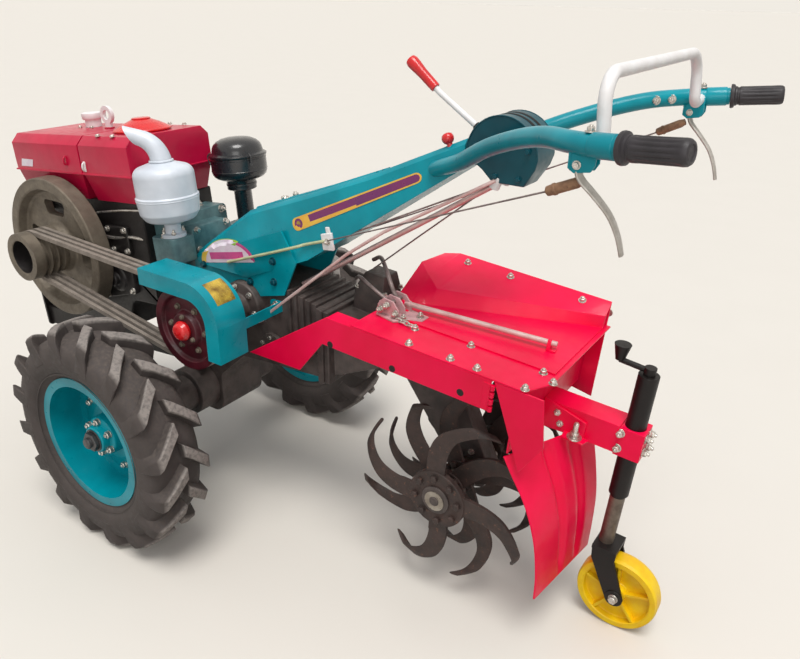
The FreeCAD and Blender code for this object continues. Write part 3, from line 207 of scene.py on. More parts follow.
def seat(tree, place, toward, at=GROUND, stand=150):
    """Point and normal where a line from outside a place meets the nodes, in the frame's millimetres."""
    way = (at.to_3x3() @ Vector(toward)).normalized()
    hit, normal = tree.ray_cast(at @ Vector(place) - way * stand / 1000, way, 4 * stand / 1000)[:2]
    if hit is None:
        return Vector(place), -Vector(toward).normalized()
    back = at.inverted()
    return back @ hit, (back.to_3x3() @ normal).normalized()


def fasten(bm, make, size, tree, places, toward, at=GROUND, stand=60):
    """Row of like screws or nuts, each seated on the nodes."""
    for place in places:
        make(bm, *seat(tree, place, toward, at, stand), *size)


def bolt_circle(bm, make, size, count, radius, at, first=0.0, hand=1):
    """Like screws or nuts on a circle round a place, with their heads to the left or to the right."""
    for ahead, up in circle(count, radius, first):
        make(bm, Vector(at) + Vector((ahead, 0, up)), (0, hand, 0), *size)


def film(bm, tree, rows, lift):
    """Thin label on the left of the nodes: a grid of points laid on the surface, stretched over its steps."""
    proud = [[seat(tree, point, RIGHT)[0].y for point in row] for row in rows]
    grid = []
    for index, row in enumerate(rows):
        line = []
        for column, point in enumerate(row):
            around = [value for near in proud[max(index - 1, 0):index + 2]
                      for value in near[max(column - 1, 0):column + 2]]
            line.append(bm.verts.new((point[0], max(around) + lift, point[2])))
        grid.append(line)
    sheet(bm, grid)


# Rounded pieces keep a hard shading edge only where two faces meet at more than this many degrees.
SHARP = 60


def object_of(name, mesh, look, sharp):
    """Object of a mesh in one finish, shaded smooth up to an angle in degrees."""
    for polygon in mesh.polygons:
        polygon.use_smooth = True
    mesh.set_sharp_from_angle(angle=math.radians(sharp))
    mesh.materials.append(look)
    thing = bpy.data.objects.new(name, mesh)
    scene.collection.objects.link(thing)
    return thing


def round_edges(thing, width, sharp, segments, harden):
    """Rounding of a width in millimetres on the edges that are sharper than an angle."""
    edge = thing.modifiers.new("edge", "BEVEL")
    edge.width = width / 1000
    edge.segments = segments
    edge.limit_method = "ANGLE"
    edge.angle_limit = math.radians(sharp)
    edge.harden_normals = harden


def mesh_of(name, bm, at):
    """Mesh of what was drawn, closed up and placed in a frame."""
    bmesh.ops.remove_doubles(bm, verts=bm.verts, dist=1e-4)
    bmesh.ops.recalc_face_normals(bm, faces=bm.faces)
    bm.transform(at)
    mesh = bpy.data.meshes.new(name)
    bm.to_mesh(mesh)
    bm.free()
    return mesh


def piece(name, look, bm, at=GROUND, bevel=0.0, soft=30, body="chassis", node=None):
    """Object of the mesh, placed in a frame, on a CAD body; it may stand for a CAD node."""
    thing = object_of(name, mesh_of(name, bm, at), look, SHARP if bevel else soft)
    if bevel:
        round_edges(thing, bevel, soft, 2, False)
    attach(thing, body)
    if node:
        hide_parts(node)


# Finishes

def linear(code):
    """Linear colour of an sRGB hex code."""
    parts = []
    for index in (0, 2, 4):
        value = int(code[index:index + 2], 16) / 255
        parts.append(value / 12.92 if value <= 0.04045 else ((value + 0.055) / 1.055) ** 2.4)
    return (*parts, 1)


def add(tree, kind, settings=None, inputs=None):
    """Node of a kind with its settings, its inputs set to a value or linked to an output."""
    node = tree.nodes.new("ShaderNode" + kind)
    for key, value in (settings or {}).items():
        setattr(node, key, value)
    for key, value in (inputs or {}).items():
        if isinstance(value, bpy.types.NodeSocket):
            tree.links.new(value, node.inputs[key])
        else:
            node.inputs[key].default_value = value
    return node


COLOURS = {"data_type": "RGBA"}
TIMES, GREATER = {"operation": "MULTIPLY"}, {"operation": "MAXIMUM"}
DRIVE_AXLE = (0.310, 0.0, 0.295)


def finish(name, colour, shade, rough=0.4, metal=0.0, ior=1.5, coat=0.0, coat_rough=0.1, patch=60, grain=2,
           relief=0.02, uneven=0.08, dust=0.0, dust_colour=None, wear=None, edge=0.0, lugs=None):
    """Finish with soft patches of a second shade, uneven gloss, fine relief and dust on what looks up."""
    look = bpy.data.materials.new(name)
    look.use_nodes = True
    tree = look.node_tree
    tree.nodes.clear()
    place = add(tree, "TexCoord").outputs["Object"]
    # Patches and mottling: cells of a patch's size and of a sixth of it, in millimetres.
    patches = add(tree, "TexNoise", None, {"Vector": place, "Scale": 1000 / patch, "Detail": 3, "Roughness": 0.55})
    tone = add(tree, "MapRange", None, {0: patches.outputs[0], 1: 0.35, 2: 0.65})
    base = add(tree, "Mix", COLOURS, {0: tone.outputs[0], 6: linear(colour), 7: linear(shade)}).outputs[2]
    mottle = add(tree, "TexNoise", None, {"Vector": place, "Scale": 6000 / patch, "Detail": 2}).outputs[0]
    gloss = add(tree, "MapRange", None, {0: mottle, 1: 0.3, 2: 0.7, 3: max(rough - uneven, 0.03),
                                         4: min(rough + uneven, 1.0)}).outputs[0]
    if wear:
        scrapes = add(tree, "TexNoise", None, {"Vector": place, "Scale": 3000 / patch, "Detail": 6, "Roughness": 0.7})
        bare = add(tree, "MapRange", None, {0: scrapes.outputs[0], 1: 0.6, 2: 0.67})
        base = add(tree, "Mix", COLOURS, {0: bare.outputs[0], 6: base, 7: linear(wear)}).outputs[2]
    if lugs:
        # Distance from the drive axle: the outermost millimetres of the lugs are scuffed pale.
        spoke = add(tree, "VectorMath", {"operation": "SUBTRACT"}, {0: place, 1: DRIVE_AXLE}).outputs[0]
        flat = add(tree, "VectorMath", TIMES, {0: spoke, 1: (1, 0, 1)}).outputs[0]
        reach = add(tree, "VectorMath", {"operation": "LENGTH"}, {0: flat}).outputs["Value"]
        top = add(tree, "MapRange", None, {0: reach, 1: 0.284, 2: 0.291, 3: 0.0, 4: 0.75}).outputs[0]
        scuff = add(tree, "MapRange", None, {0: mottle, 1: 0.3, 2: 0.6, 3: 0.4, 4: 1.0}).outputs[0]
        pale = add(tree, "Math", TIMES, {0: top, 1: scuff}).outputs[0]
        base = add(tree, "Mix", COLOURS, {0: pale, 6: base, 7: linear(lugs)}).outputs[2]
    if dust:
        facing = add(tree, "NewGeometry").outputs["Normal"]
        upward = add(tree, "SeparateXYZ", None, {0: facing}).outputs[2]
        lying = add(tree, "MapRange", None, {0: upward, 1: -0.2, 2: 1.0, 3: 0.25, 4: 1.0})
        loose = add(tree, "MapRange", None, {0: mottle, 1: 0.3, 2: 0.75, 3: 0.2 * dust, 4: dust})
        amount = add(tree, "Math", TIMES, {0: lying.outputs[0], 1: loose.outputs[0]}).outputs[0]
        base = add(tree, "Mix", COLOURS, {0: amount, 6: base, 7: linear(dust_colour)}).outputs[2]
        gloss = add(tree, "Math", {"operation": "ADD", "use_clamp": True}, {0: gloss, 1: amount}).outputs[0]
    shader = add(tree, "BsdfPrincipled", None, {
        "Base Color": base, "Roughness": gloss, "Metallic": metal, "IOR": ior, "Coat Weight": coat,
        "Coat Roughness": coat_rough})
    fine = add(tree, "TexNoise", None, {"Vector": place, "Scale": 1000 / grain, "Detail": 4, "Roughness": 0.6})
    bump = add(tree, "Bump", None, {"Strength": 0.6, "Distance": relief / 1000, "Height": fine.outputs[0]})
    if edge:
        rounded = add(tree, "Bevel", {"samples": 4}, {0: edge / 1000})
        tree.links.new(rounded.outputs[0], bump.inputs["Normal"])
    tree.links.new(bump.outputs[0], shader.inputs["Normal"])
    add(tree, "OutputMaterial", None, {0: shader.outputs[0]})
    return look


def vinyl(name, colour, shade, patch):
    """Printed vinyl of a blank label, smooth and a little glossy."""
    return finish("vinyl_" + name, colour, shade, 0.35, coat=0.3, patch=patch, grain=4, relief=0.01)


# Sprayed enamel, even and glossy: the teal sheet of beam, guard, rims and handle tubes
teal = finish("enamel_teal", "019AA8", "018491", 0.32, ior=1.3, coat=0.15, patch=120, grain=3, uneven=0.05)
# The same teal enamel darkened to paint the machine's shade on it: the quadrant and the cheeks' bolts
teal_painted_shade = finish("enamel_teal_painted_shade", "034E5A", "023C48", 0.36, ior=1.32, coat=0.1, patch=90, grain=3)
# Crimson enamel of the engine's tank and hopper
crimson = finish("enamel_crimson", "C8103F", "B80C38", 0.34, ior=1.34, coat=0.15, patch=110, grain=3, uneven=0.06)
# Brighter red enamel of the tiller's sheets
tiller_red = finish("enamel_tiller_red", "F80248", "EA023E", 0.38, ior=1.3, coat=0.1, patch=140, grain=3,
                    relief=0.03, uneven=0.07)
# Scarlet of the funnel cover and the small knobs
scarlet = finish("enamel_scarlet", "E0121A", "CC0A14", 0.3, coat=0.4, edge=0.8)
# Rubber of the drive tyres, dusted by dry earth and scuffed pale on the lugs
rubber = finish("tyre_rubber", "3C3534", "2F2928", 0.66, patch=50, grain=1.2, relief=0.12, dust=0.45,
                dust_colour="7F746B", lugs="A59D96")
# Moulded black rubber of the grips
grip_rubber = finish("grip_rubber", "2A262B", "201D22", 0.5, patch=20, grain=0.8, relief=0.05)
# Sand-cast iron, left bare and gone brown-grey: flywheel and pulleys
cast_iron = finish("cast_iron_bare", "7A7062", "655C50", 0.55, metal=0.35, patch=40, grain=1.6, relief=0.12,
                   uneven=0.12, edge=1.5)
# Painted and oily castings of the gearboxes
cast_case = finish("cast_iron_painted", "544A47", "383130", 0.5, metal=0.1, patch=45, relief=0.15,
                   uneven=0.12, edge=2, dust=0.18, dust_colour="8F8074")
# Black painted crankcase with an oily sheen
engine_black = finish("engine_black", "161315", "0F0D0C", 0.45, patch=50, grain=2.5, relief=0.15, edge=2,
                      dust=0.1, dust_colour="6B5F58")
# Grey-green painted cylinder head
head_paint = finish("head_paint", "5E8082", "48666A", patch=30, relief=0.12, edge=2)
# Black sheet steel of the air cleaner, glossy
cleaner_black = finish("cleaner_black", "1A1C22", "15171C", 0.3, coat=0.5, patch=70)
# Heat-proof aluminium paint of the silencer
muffler_silver = finish("aluminium_paint", "DDE2E9", "CDD3DB", 0.45, metal=0.1, patch=70, grain=1.2, relief=0.03)
# Zinc-plated screws, nuts and small rods
zinc = finish("zinc_plate", "D2CEC8", "B4AFA8", 0.3, metal=0.85, patch=12, grain=1, uneven=0.12)
# Bright steel of the rotor's shaft
steel = finish("bright_steel", "A39C92", "857D73", 0.35, metal=0.8, patch=30, grain=0.8, uneven=0.1)
# Fabric-backed rubber of the belts, worn grey
belt_rubber = finish("belt_rubber", "93887D", "7C7268", 0.75, patch=25, grain=1, relief=0.1)
# Rough dark paint of the rotor's blades, with rust showing
blade_paint = finish("blade_paint", "2B2220", "3E2E2A", 0.55, metal=0.1, patch=30, grain=1.8, relief=0.15, edge=1,
                     wear="6A4A3C", dust=0.12, dust_colour="7C6A60")
# Semi-gloss black paint of frame rails, strut and fork
satin_black = finish("satin_black", "0E0B0C", "171313", 0.42, ior=1.35, patch=40, grain=1.5, relief=0.05, edge=1.2,
                     dust=0.05, dust_colour="74695F")
# Maroon primer of the clutch pulley
maroon = finish("primer_maroon", "4C0C1B", "340812", 0.45, patch=30, grain=1.5, relief=0.06, edge=1)
# Yellow nylon of the depth wheel
yellow = finish("nylon_yellow", "F2CC0A", "E8B404", 0.42, patch=40, relief=0.03, edge=1.2)
# White plastic sleeve of the hand loop and the gear lever
white_sleeve = finish("white_sleeve", "F0EEEC", "E6E2DF", patch=30, relief=0.04)
# Frosted glass of the lamp
lamp_glass = finish("lamp_glass", "DCE4EC", "C4CFDA", 0.12, coat=1.0, coat_rough=0.05, patch=12, grain=3, relief=0.1)
# Gold foil of the guard's blank label, and the blank vinyl of the beam's labels: purple, plum, yellow, white,
# pink and green
gold_foil = finish("gold_foil", "D9B64A", "7A5A22", 0.25, metal=0.3, patch=38, grain=4, relief=0.01)
vinyl_purple = vinyl("purple", "4A2A86", "6A2F7C", 60)
vinyl_plum = vinyl("plum", "7E1D5C", "6A1C62", 80)
vinyl_yellow = vinyl("yellow", "F1C94B", "EBA93A", 60)
vinyl_white = vinyl("white", "F0E6EC", "E6C9DC", 30)
vinyl_pink = vinyl("pink", "D8408C", "C33A86", 30)
vinyl_green = vinyl("green", "6FB53E", "B8D23A", 34)
# Dull black: soot inside the silencer's horn together with its painted shade, and painted shade in the quadrant's slots
# and the side bar's holes
soot_and_painted_shade = finish("soot_and_painted_shade_black", "120F0E", "1C1815", 0.85, patch=20, relief=0.1)
# Cream sheath of the clutch cable
cable_cream = finish("cable_sheath", "CFCB9E", "A9B48A", 0.45, patch=40)
# Dull grey steel of clips, axle nuts and the clutch arm
iron_grey = finish("iron_grey", "5C5B5C", "484748", 0.45, metal=0.6, patch=20, grain=1, relief=0.04)
# Cast light alloy of the clutch levers, satin and scuffed
lever_alloy = finish("lever_alloy", "BDB8B0", "A29B92", 0.38, metal=0.35, patch=24, grain=1, relief=0.05, uneven=0.12)
# Rolled steel tube gone brown: the sleeves of the pull wires
rusty_tube = finish("rusty_tube", "9A7558", "74543F", 0.6, metal=0.2, patch=14, grain=1, relief=0.12, wear="5A4236")
# Drawn rods under pale pink paint worn to steel
pink_steel = finish("pink_steel", "D9BDB8", "C39C98", 0.38, metal=0.25, patch=40, grain=1, relief=0.03, uneven=0.1)
# Sliding tube of the depth leg, its paint rubbed down to brown steel
worn_tube = finish("worn_tube", "766A5E", "5A4E45", 0.45, metal=0.45, patch=26, grain=1.2, relief=0.06, uneven=0.12)
# Chipped pink paint of the selector's bracket
pink_lever = finish("lever_pink", "CFA3A4", "B58A8B", 0.42, patch=18, grain=1, relief=0.05, wear="7D6F6C")
# Pinkish paint of small levers and wires, worn to metal
lever_paint = finish("lever_paint", "8E7F7C", "6E605E", 0.42, metal=0.4, patch=20, grain=1, relief=0.05)

CAD_LOOKS = {
    rubber: ["tyre_left", "tyre_right"],
    teal: ["rim_left", "rim_right", "belt_guard", "handle_beam", "handle_arms"],
    # Painted shade: the control box wears the teal darkened for the shade it lies in
    teal_painted_shade: ["control_box"],
    satin_black: ["frame_rails", "strut_tube", "strut_leg", "depth_crank"],
    cast_case: ["gearbox_case", "axle_housings", "chain_case"],
    maroon: ["clutch_pulley"],
    scarlet: ["clutch_cap", "hopper_cover", "gear_lever_grip"],
    belt_rubber: ["drive_belts"],
    engine_black: ["engine_block"],
    head_paint: ["cylinder_head"],
    crimson: ["fuel_tank", "water_hopper"],
    white_sleeve: ["hand_loop", "gear_lever", "filler_neck", "lifting_eye"],
    lamp_glass: ["headlamp"],
    muffler_silver: ["muffler"],
    cleaner_black: ["air_cleaner"],
    cast_iron: ["flywheel", "crank_pulley"],
    grip_rubber: ["grips"],
    lever_alloy: ["clutch_levers"],
    pink_steel: ["control_rods", "hood_rod"],
    tiller_red: ["side_bars", "deck_plate", "hood", "rear_shield", "tail_arm"],
    yellow: ["tail_wheel"],
    steel: ["rotor_shaft"],
    blade_paint: ["rotor_tines"],
}
for look, names in CAD_LOOKS.items():
    for name in names:
        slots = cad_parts[name].data.materials
        slots.clear()
        slots.append(look)


# Folded and cast pieces with their real rounded edges

def rounded_node(node, look, width):
    """Copy of a CAD node's form with every fold and rim rounded; it stands for the node."""
    bm = bmesh.new()
    bm.from_mesh(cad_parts[node].data)
    bmesh.ops.remove_doubles(bm, verts=bm.verts, dist=1e-6)
    bmesh.ops.dissolve_limit(bm, angle_limit=math.radians(0.6), verts=bm.verts, edges=bm.edges)
    mesh = bpy.data.meshes.new(node + "_rounded")
    bm.to_mesh(mesh)
    bm.free()
    thing = object_of(mesh.name, mesh, look, SHARP)
    round_edges(thing, width, 24, 3, True)
    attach(thing, "chassis")
    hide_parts(node)


for node, look, width in (
        ("fuel_tank", crimson, 5), ("water_hopper", crimson, 5), ("belt_guard", teal, 4), ("handle_beam", teal, 3),
        ("deck_plate", tiller_red, 1.2), ("hood", tiller_red, 1.2), ("side_bars", tiller_red, 1.6),
        ("tail_arm", tiller_red, 2.5), ("engine_block", engine_black, 5), ("cylinder_head", head_paint, 3),
        ("gearbox_case", cast_case, 3), ("chain_case", cast_case, 3), ("frame_rails", satin_black, 2)):
    rounded_node(node, look, width)


# Wheels

TYRE_PROFILE = [(154, 53.5), (173, 54.5), (179, 58), (192, 68.5), (211, 75), (232, 74), (249, 69.5), (259, 61),
                (265, 47), (268, 28), (268, 0)]
# Lug stations: distance from the middle, lean in degrees, foot and top radius, foot and top half width.
LUG_STATIONS = [(1.5, 0, 255, 294.6, 21, 15.5), (20, 3.3, 255, 294.8, 20, 15), (40, 7.4, 252, 294, 20, 15),
                (60, 11.6, 243, 291.5, 22, 16.5), (69, 13, 232, 285, 23, 17.5), (75, 14, 216, 266, 22, 15)]
LUG_PITCH = 360 / 16


def drive_tyre(name, at, body, node):
    """Tyre with round shoulders and bevelled chevron lugs."""
    bm = bmesh.new()
    profile = TYRE_PROFILE + [(radius, -across) for radius, across in reversed(TYRE_PROFILE[:-1])]
    lathe(bm, profile, axis=LEFT, steps=96, closed=True)
    for radius, ridge in ((184, 68), (190, 62)):
        for hand in SIDES:
            lathe(bm, [(radius, hand * ridge), (radius + 1.5, hand * (ridge + 1.6)), (radius + 3, hand * ridge)],
                  axis=LEFT, steps=96)
    for hand in SIDES:
        for index in range(16):
            turn = math.radians(LUG_PITCH * (index + (0 if hand > 0 else 0.5)))
            rings = []
            for across, lean, foot, crest, wide, narrow in LUG_STATIONS:
                ring = []
                for radius, width in ((foot, -wide), (crest, -narrow), (crest, narrow), (foot, wide)):
                    angle = math.radians(lean) + width / radius - turn
                    ring.append(bm.verts.new((-radius * math.sin(angle), hand * across, radius * math.cos(angle))))
                rings.append(ring)
            bridge(bm, rings, True, True)
    piece(name, rubber, bm, at, 2.4, 38, body, node)


def rim_fasteners(name, at, body):
    """Rim bolts on the dished disc, hub bolts round the axle, the axle's nut, the disc's beads and the valve."""
    bm = bmesh.new()
    bolt_circle(bm, stud, (15, 9, 12, 4), 8, 98, (0, -19.4, 0), 12)
    bolt_circle(bm, stud, (16, 9, 9.3, 5), 6, 42.5, (0, 19.8, 0))
    piece(name + "_bolts", zinc, bm, at, 0.5, body=body)
    bm = bmesh.new()
    lathe(bm, [(0, 40.3), (29, 40.3), (29, 42.5), (0, 42.5)], axis=LEFT)
    hexagon(bm, (0, 42.5, 0), LEFT, 44, 11)
    lathe(bm, [(14, 52), (14, 61), (12, 63), (0, 63)], axis=LEFT, steps=24)
    piece(name + "_axle_nut", iron_grey, bm, at, 0.7)
    bm = bmesh.new()
    for radius in (132, 120):
        lathe(bm, [(radius, -35.2), (radius - 2, -33.6), (radius - 4, -35.2)], axis=LEFT, steps=72)
    bar(bm, (0, 8, 148), (0, 26, 140), 5)
    bar(bm, (0, 24, 141), (0, 34, 137), 3.6)
    piece(name + "_valve", grip_rubber, bm, at, 0.3, body=body)


drive_tyre("tyre_left_lugged", WHEEL_LEFT, "wheel_left", "tyre_left")
drive_tyre("tyre_right_lugged", WHEEL_RIGHT, "wheel_right", "tyre_right")
rim_fasteners("rim_left", WHEEL_LEFT, "wheel_left")
rim_fasteners("rim_right", WHEEL_RIGHT_TURNED, "wheel_right")


# Engine

LAMP = (185.4, 60, 246)


def tank_trim():
    """Latches, blank plate, screws and ribbed cap of the tank, and the glass and ring of its lamp."""
    sides = skin_of("fuel_tank", "water_hopper")
    for name, look, ahead, up in (("hopper_latch", white_sleeve, 276, 878.4), ("tank_latch", crimson, 356, 883.5)):
        bm = bmesh.new()
        place = seat(sides, (ahead, 150, up), RIGHT)[0]
        prism(bm, moved(place, [(-5, 0, -13), (5, 0, -13), (4, 0, 13), (-4, 0, 13)]), (0, 3, 0))
        sweep(bm, smooth_path(moved(place, [(0, 3, 10), (0, 7, 6), (0, 8, -4), (0, 4, -11)]), 4), 2.4, 8)
        piece(name, look, bm, bevel=0.8)
    bm = bmesh.new()
    film(bm, sides, [[(567, 150, 862), (512, 150, 866)], [(574, 150, 841), (519, 150, 846)]], 0.6)
    piece("tank_plate", vinyl_white, bm)
    bm = bmesh.new()
    for across, along in circle(4, 38, 45):
        hexagon(bm, (along + 40, across - 20, 294.3), UP, 8, 4, 6)
    for along in (-250, -190):
        for across, up in ((-100, 294.3), (130, 293.9)):
            hexagon(bm, (along, across, up), UP, 9, 4, 7)
    piece("tank_screws", zinc, bm, ENGINE, 0.4)
    bm = bmesh.new()
    rings = []
    for up, wide in ((294.4, 22), (315, 22), (315.5, 26), (318, 27), (332, 27), (334.2, 24), (334.4, 12)):
        rib = 0.9 if 316 < up < 333 else 0
        rings.append([bm.verts.new((40 + (wide + rib * (step % 2)) * along, -20 + (wide + rib * (step % 2)) * across,
                                    up)) for step, (across, along) in enumerate(circle(56, 1))])
    bridge(bm, rings, last=True)
    piece("filler_cap", white_sleeve, bm, ENGINE, 0.5, 50, node="filler_neck")
    bm = bmesh.new()
    lathe(bm, [(27.5, 0), (30, 0), (30, 33.4), (28.6, 34.6), (26.6, 34.6), (25, 31.5), (14, 33), (0, 33.5)],
          LAMP, AHEAD, 48)
    piece("headlamp_glass", lamp_glass, bm, ENGINE, 0.4, node="headlamp")
    bm = bmesh.new()
    lathe(bm, [(30.4, 4), (31.6, 4), (31.6, 30), (30.4, 32.5)], LAMP, AHEAD, 48)
    lathe(bm, [(25, 31.4), (30.4, 32.6), (30.4, 34.8), (27, 34.8), (25, 33)], LAMP, AHEAD, 48, True)
    piece("headlamp_ring", zinc, bm, ENGINE, 0.3)


def funnel_trim():
    """Folded seam and cap of the funnel cover, and the weld bead round the lifting eye's foot."""
    bm = bmesh.new()
    place = (-225, 18, 294.6)
    lathe(bm, [(70.5, 0.6), (73.4, 1.4), (74, 4.4), (72, 6.6), (69, 7)], place, UP, 64)
    lathe(bm, [(24, 29.2), (24.6, 31), (22, 32.6), (0, 33)], place, UP, 48)
    piece("funnel_seam", scarlet, bm, ENGINE, 0.3)
    bm = bmesh.new()
    sweep(bm, [(along, across, 295.4) for along, across in ((-71, -6.5), (-49, -6.5), (-48.5, 6.5), (-71.5, 6.5),
                                                            (-72, -6.5))], 2.2, 8)
    piece("eye_weld", crimson, bm, ENGINE)


def exhaust_trim():
    """Flange nuts of the silencer, the sooted inside of its horn with its shade painted in as a dark disc, and its
    rolled seams.
    """
    place = (-408, 120, 54)
    bm = bmesh.new()
    for across, along in circle(3, 26, 20):
        stud(bm, (along, across, 8), UP, 10, 7, 0, 5)
    piece("muffler_nuts", zinc, bm, shifted(ENGINE, place), 0.4)
    bm = bmesh.new()
    # Dull black disc in the horn's mouth: soot, and the painted shade of the horn's inside
    lathe(bm, [(0, -1), (13.5, -1), (15, 0.6), (0, 1.2)], (48, 0, 243), (0.93, 0, 0.36), 24)
    piece("horn_soot_and_painted_shade", soot_and_painted_shade, bm, shifted(ENGINE, place, 30, "Z"))
    bm = bmesh.new()
    for up in (97, 102):
        lathe(bm, [(73.9, up - 2.2), (76.4, up - 1), (76.4, up + 1), (73.9, up + 2.2)], steps=72)
    lathe(bm, [(26, 184.5), (29.5, 185.2), (29, 188.6), (26, 190)], steps=48)
    piece("muffler_seams", muffler_silver, bm, shifted(ENGINE, place), 0.4)


def oil_bath_cleaner():
    """Pressed cleaner with a domed lid, rolled seams and clips, on its intake pipe."""
    at = shifted(ENGINE, (-405, -133, 30))
    bm = bmesh.new()
    lathe(bm, [(0, 0), (30, 0), (30, 7), (29, 8), (24, 8.6), (24, 90), (25.5, 92), (37, 93), (39.5, 95), (39.5, 116),
               (41, 118.5), (52, 121), (63, 125.5), (70, 132), (73.5, 141), (74, 150), (74, 180), (76.6, 182),
               (77.4, 185), (76.6, 188), (72, 190), (68.5, 192), (67.6, 197), (66, 205), (61.5, 213.5), (53, 221),
               (41, 226.6), (27, 229.8), (13, 231.2), (0, 231.6)], steps=96)
    piece("air_cleaner_shell", cleaner_black, bm, at, soft=38, node="air_cleaner")
    bm = bmesh.new()
    for up in (146, 176):
        lathe(bm, [(73.2, up - 2), (75, up), (73.2, up + 2)], steps=96)
    lathe(bm, [(39, 104), (41, 105), (41, 110), (39, 111)], steps=64)
    piece("cleaner_seams", cleaner_black, bm, at, 0.4)
    bm = bmesh.new()
    for turn in (40, 160, 280):
        spot = Matrix.Rotation(math.radians(turn), 3, "Z")
        points = [spot @ Vector(point) for point in ((74.5, 0, 166), (79, 0, 172), (79.6, 0, 186), (72, 0, 193))]
        sweep(bm, smooth_path(points, 4), 1.6, 6)
        lathe(bm, [(0, -3), (4, -3), (4, 3), (0, 3)], spot @ Vector((75, 0, 165)), spot @ Vector(AHEAD), 12)
    for hand in SIDES:
        stud(bm, (hand * 26, 0, 8), UP, 10, 7, 0, 4)
    piece("cleaner_clips", iron_grey, bm, at, 0.4)


def head_trim():
    """Rocker cover's screws, head nuts, governor spring, fuel pipes and injector on the engine."""
    head = skin_of("cylinder_head")
    bm = bmesh.new()
    fasten(bm, hexagon, (12, 8, 9), head, [(-410, across, up) for across in (-50, 50) for up in (-52, 0, 52)],
           AHEAD, ENGINE)
    fasten(bm, stud, (15, 9, 11, 7), head, [(-380, across, up) for across in (-76, 76) for up in (-78, -26, 26, 78)],
           AHEAD, ENGINE)
    fasten(bm, stud, (13, 8, 10, 6), head, [(along, across, 120) for along, across in (
        (-350, 112), (-395, 96), (-395, 140), (-330, 60), (-330, -40))], DOWN, ENGINE)
    piece("head_nuts", zinc, bm, ENGINE, 0.5)
    bm = bmesh.new()
    coil = [(-352 + across, 24 + step * 0.36, 106 + up)
            for step, (across, up) in enumerate(arc(121, 6, 0, 120 * 36))]
    sweep(bm, coil, 1.3, 6)
    sweep(bm, smooth_path([(-352, 67, 112), (-350, 78, 118), (-344, 88, 108), (-340, 92, 96)], 5), 1.6, 6)
    piece("governor_spring", zinc, bm, ENGINE)
    bm = bmesh.new()
    sweep(bm, smooth_path([(-116, 130, 92), (-150, 138, 98), (-230, 138, 108), (-300, 132, 112), (-330, 110, 110),
                           (-342, 70, 104), (-344, 40, 96)], 6), 3, 8)
    sweep(bm, smooth_path([(-60, 129, 60), (-100, 140, 40), (-170, 136, 30), (-240, 130, 36), (-296, 118, 30)], 6),
          4.5, 8)
    piece("fuel_pipes", zinc, bm, ENGINE)
    bm = bmesh.new()
    lathe(bm, [(0, 0), (18, 0), (18, 16), (14, 20), (14, 34), (10, 38), (0, 38)], (-344, 24, 92), UP, 24)
    lathe(bm, [(0, 0), (12, 0), (12, 14), (8, 18), (0, 18)], (-340, 60, 92), (0, 0.3, 1), 18)
    piece("injector", cast_case, bm, ENGINE, 0.8)


def block_trim():
    """Side covers, pump and bolts on the crankcase's left side, seen under the flywheel and the belts."""
    side = 124
    bm = bmesh.new()
    plate(bm, [(-236, -10), (-160, -10), (-150, 62), (-236, 62)], side, 12)
    plate(bm, [(-226, -122), (-96, -150), (-90, -40), (-226, -40)], side, 14)
    lathe(bm, [(0, 0), (40, 0), (40, 12), (34, 18), (18, 20), (18, 34), (0, 34)], (-160, side, -84), LEFT, 32)
    plate(bm, [(96, 84), (160, 84), (160, 122), (96, 122)], side, 8)
    piece("crankcase_covers", engine_black, bm, ENGINE, 2.5)
    bm = bmesh.new()
    for thick, places in ((12, [(-228, -2), (-168, -2), (-158, 54), (-228, 54)]),
                          (14, [(-218, -114), (-104, -138), (-98, -48), (-218, -48)]),
                          (8, [(104, 90), (152, 90), (152, 116), (104, 116)])):
        for along, up in places:
            hexagon(bm, (along, side + thick, up), LEFT, 12, 7, 9)
    piece("crankcase_bolts", zinc, bm, ENGINE, 0.5)


def flywheel_trim():
    """Hub and pulley bolts of the flywheel, its turning marks, and a dark lining that paints the shade inside the
    pulley.
    """
    bm = bmesh.new()
    bolt_circle(bm, hexagon, (15, 9, 10), 4, 54, (0, 205.2, 0), 45)
    bolt_circle(bm, hexagon, (13, 8, 9), 3, 26, (0, 248.2, 0), 30)
    piece("flywheel_bolts", zinc, bm, CRANK, 0.6, body="crank")
    bm = bmesh.new()
    for radius in (188, 166):
        lathe(bm, [(radius + 1.4, 207.6), (radius, 208.6), (radius - 1.4, 207.6)], axis=LEFT, steps=96)
    lathe(bm, [(16, 205), (20, 207), (16, 209)], axis=LEFT)
    piece("flywheel_turning_marks", cast_iron, bm, CRANK, body="crank")
    # Dark lining of the pulley's bore in the crankcase's black: painted shade of its deep inside
    bm = bmesh.new()
    lathe(bm, [(43.4, 298), (41.5, 249), (28, 248.6), (0, 248.6)], axis=LEFT, steps=64)
    piece("pulley_bore_painted_shade", engine_black, bm, CRANK, body="crank")


def clutch_trim():
    """Bolts of the clutch drum and its cover."""
    bm = bmesh.new()
    bolt_circle(bm, hexagon, (9, 5, 6), 3, 33, (0, 278.2, 0))
    bolt_circle(bm, hexagon, (11, 6, 8), 6, 56, (0, 264.2, 0), 30)
    piece("clutch_bolts", cast_iron, bm, CLUTCH, 0.5, body="clutch")


tank_trim()
funnel_trim()
exhaust_trim()
oil_bath_cleaner()
head_trim()
block_trim()
flywheel_trim()
clutch_trim()


# Handle column, guard and linkages

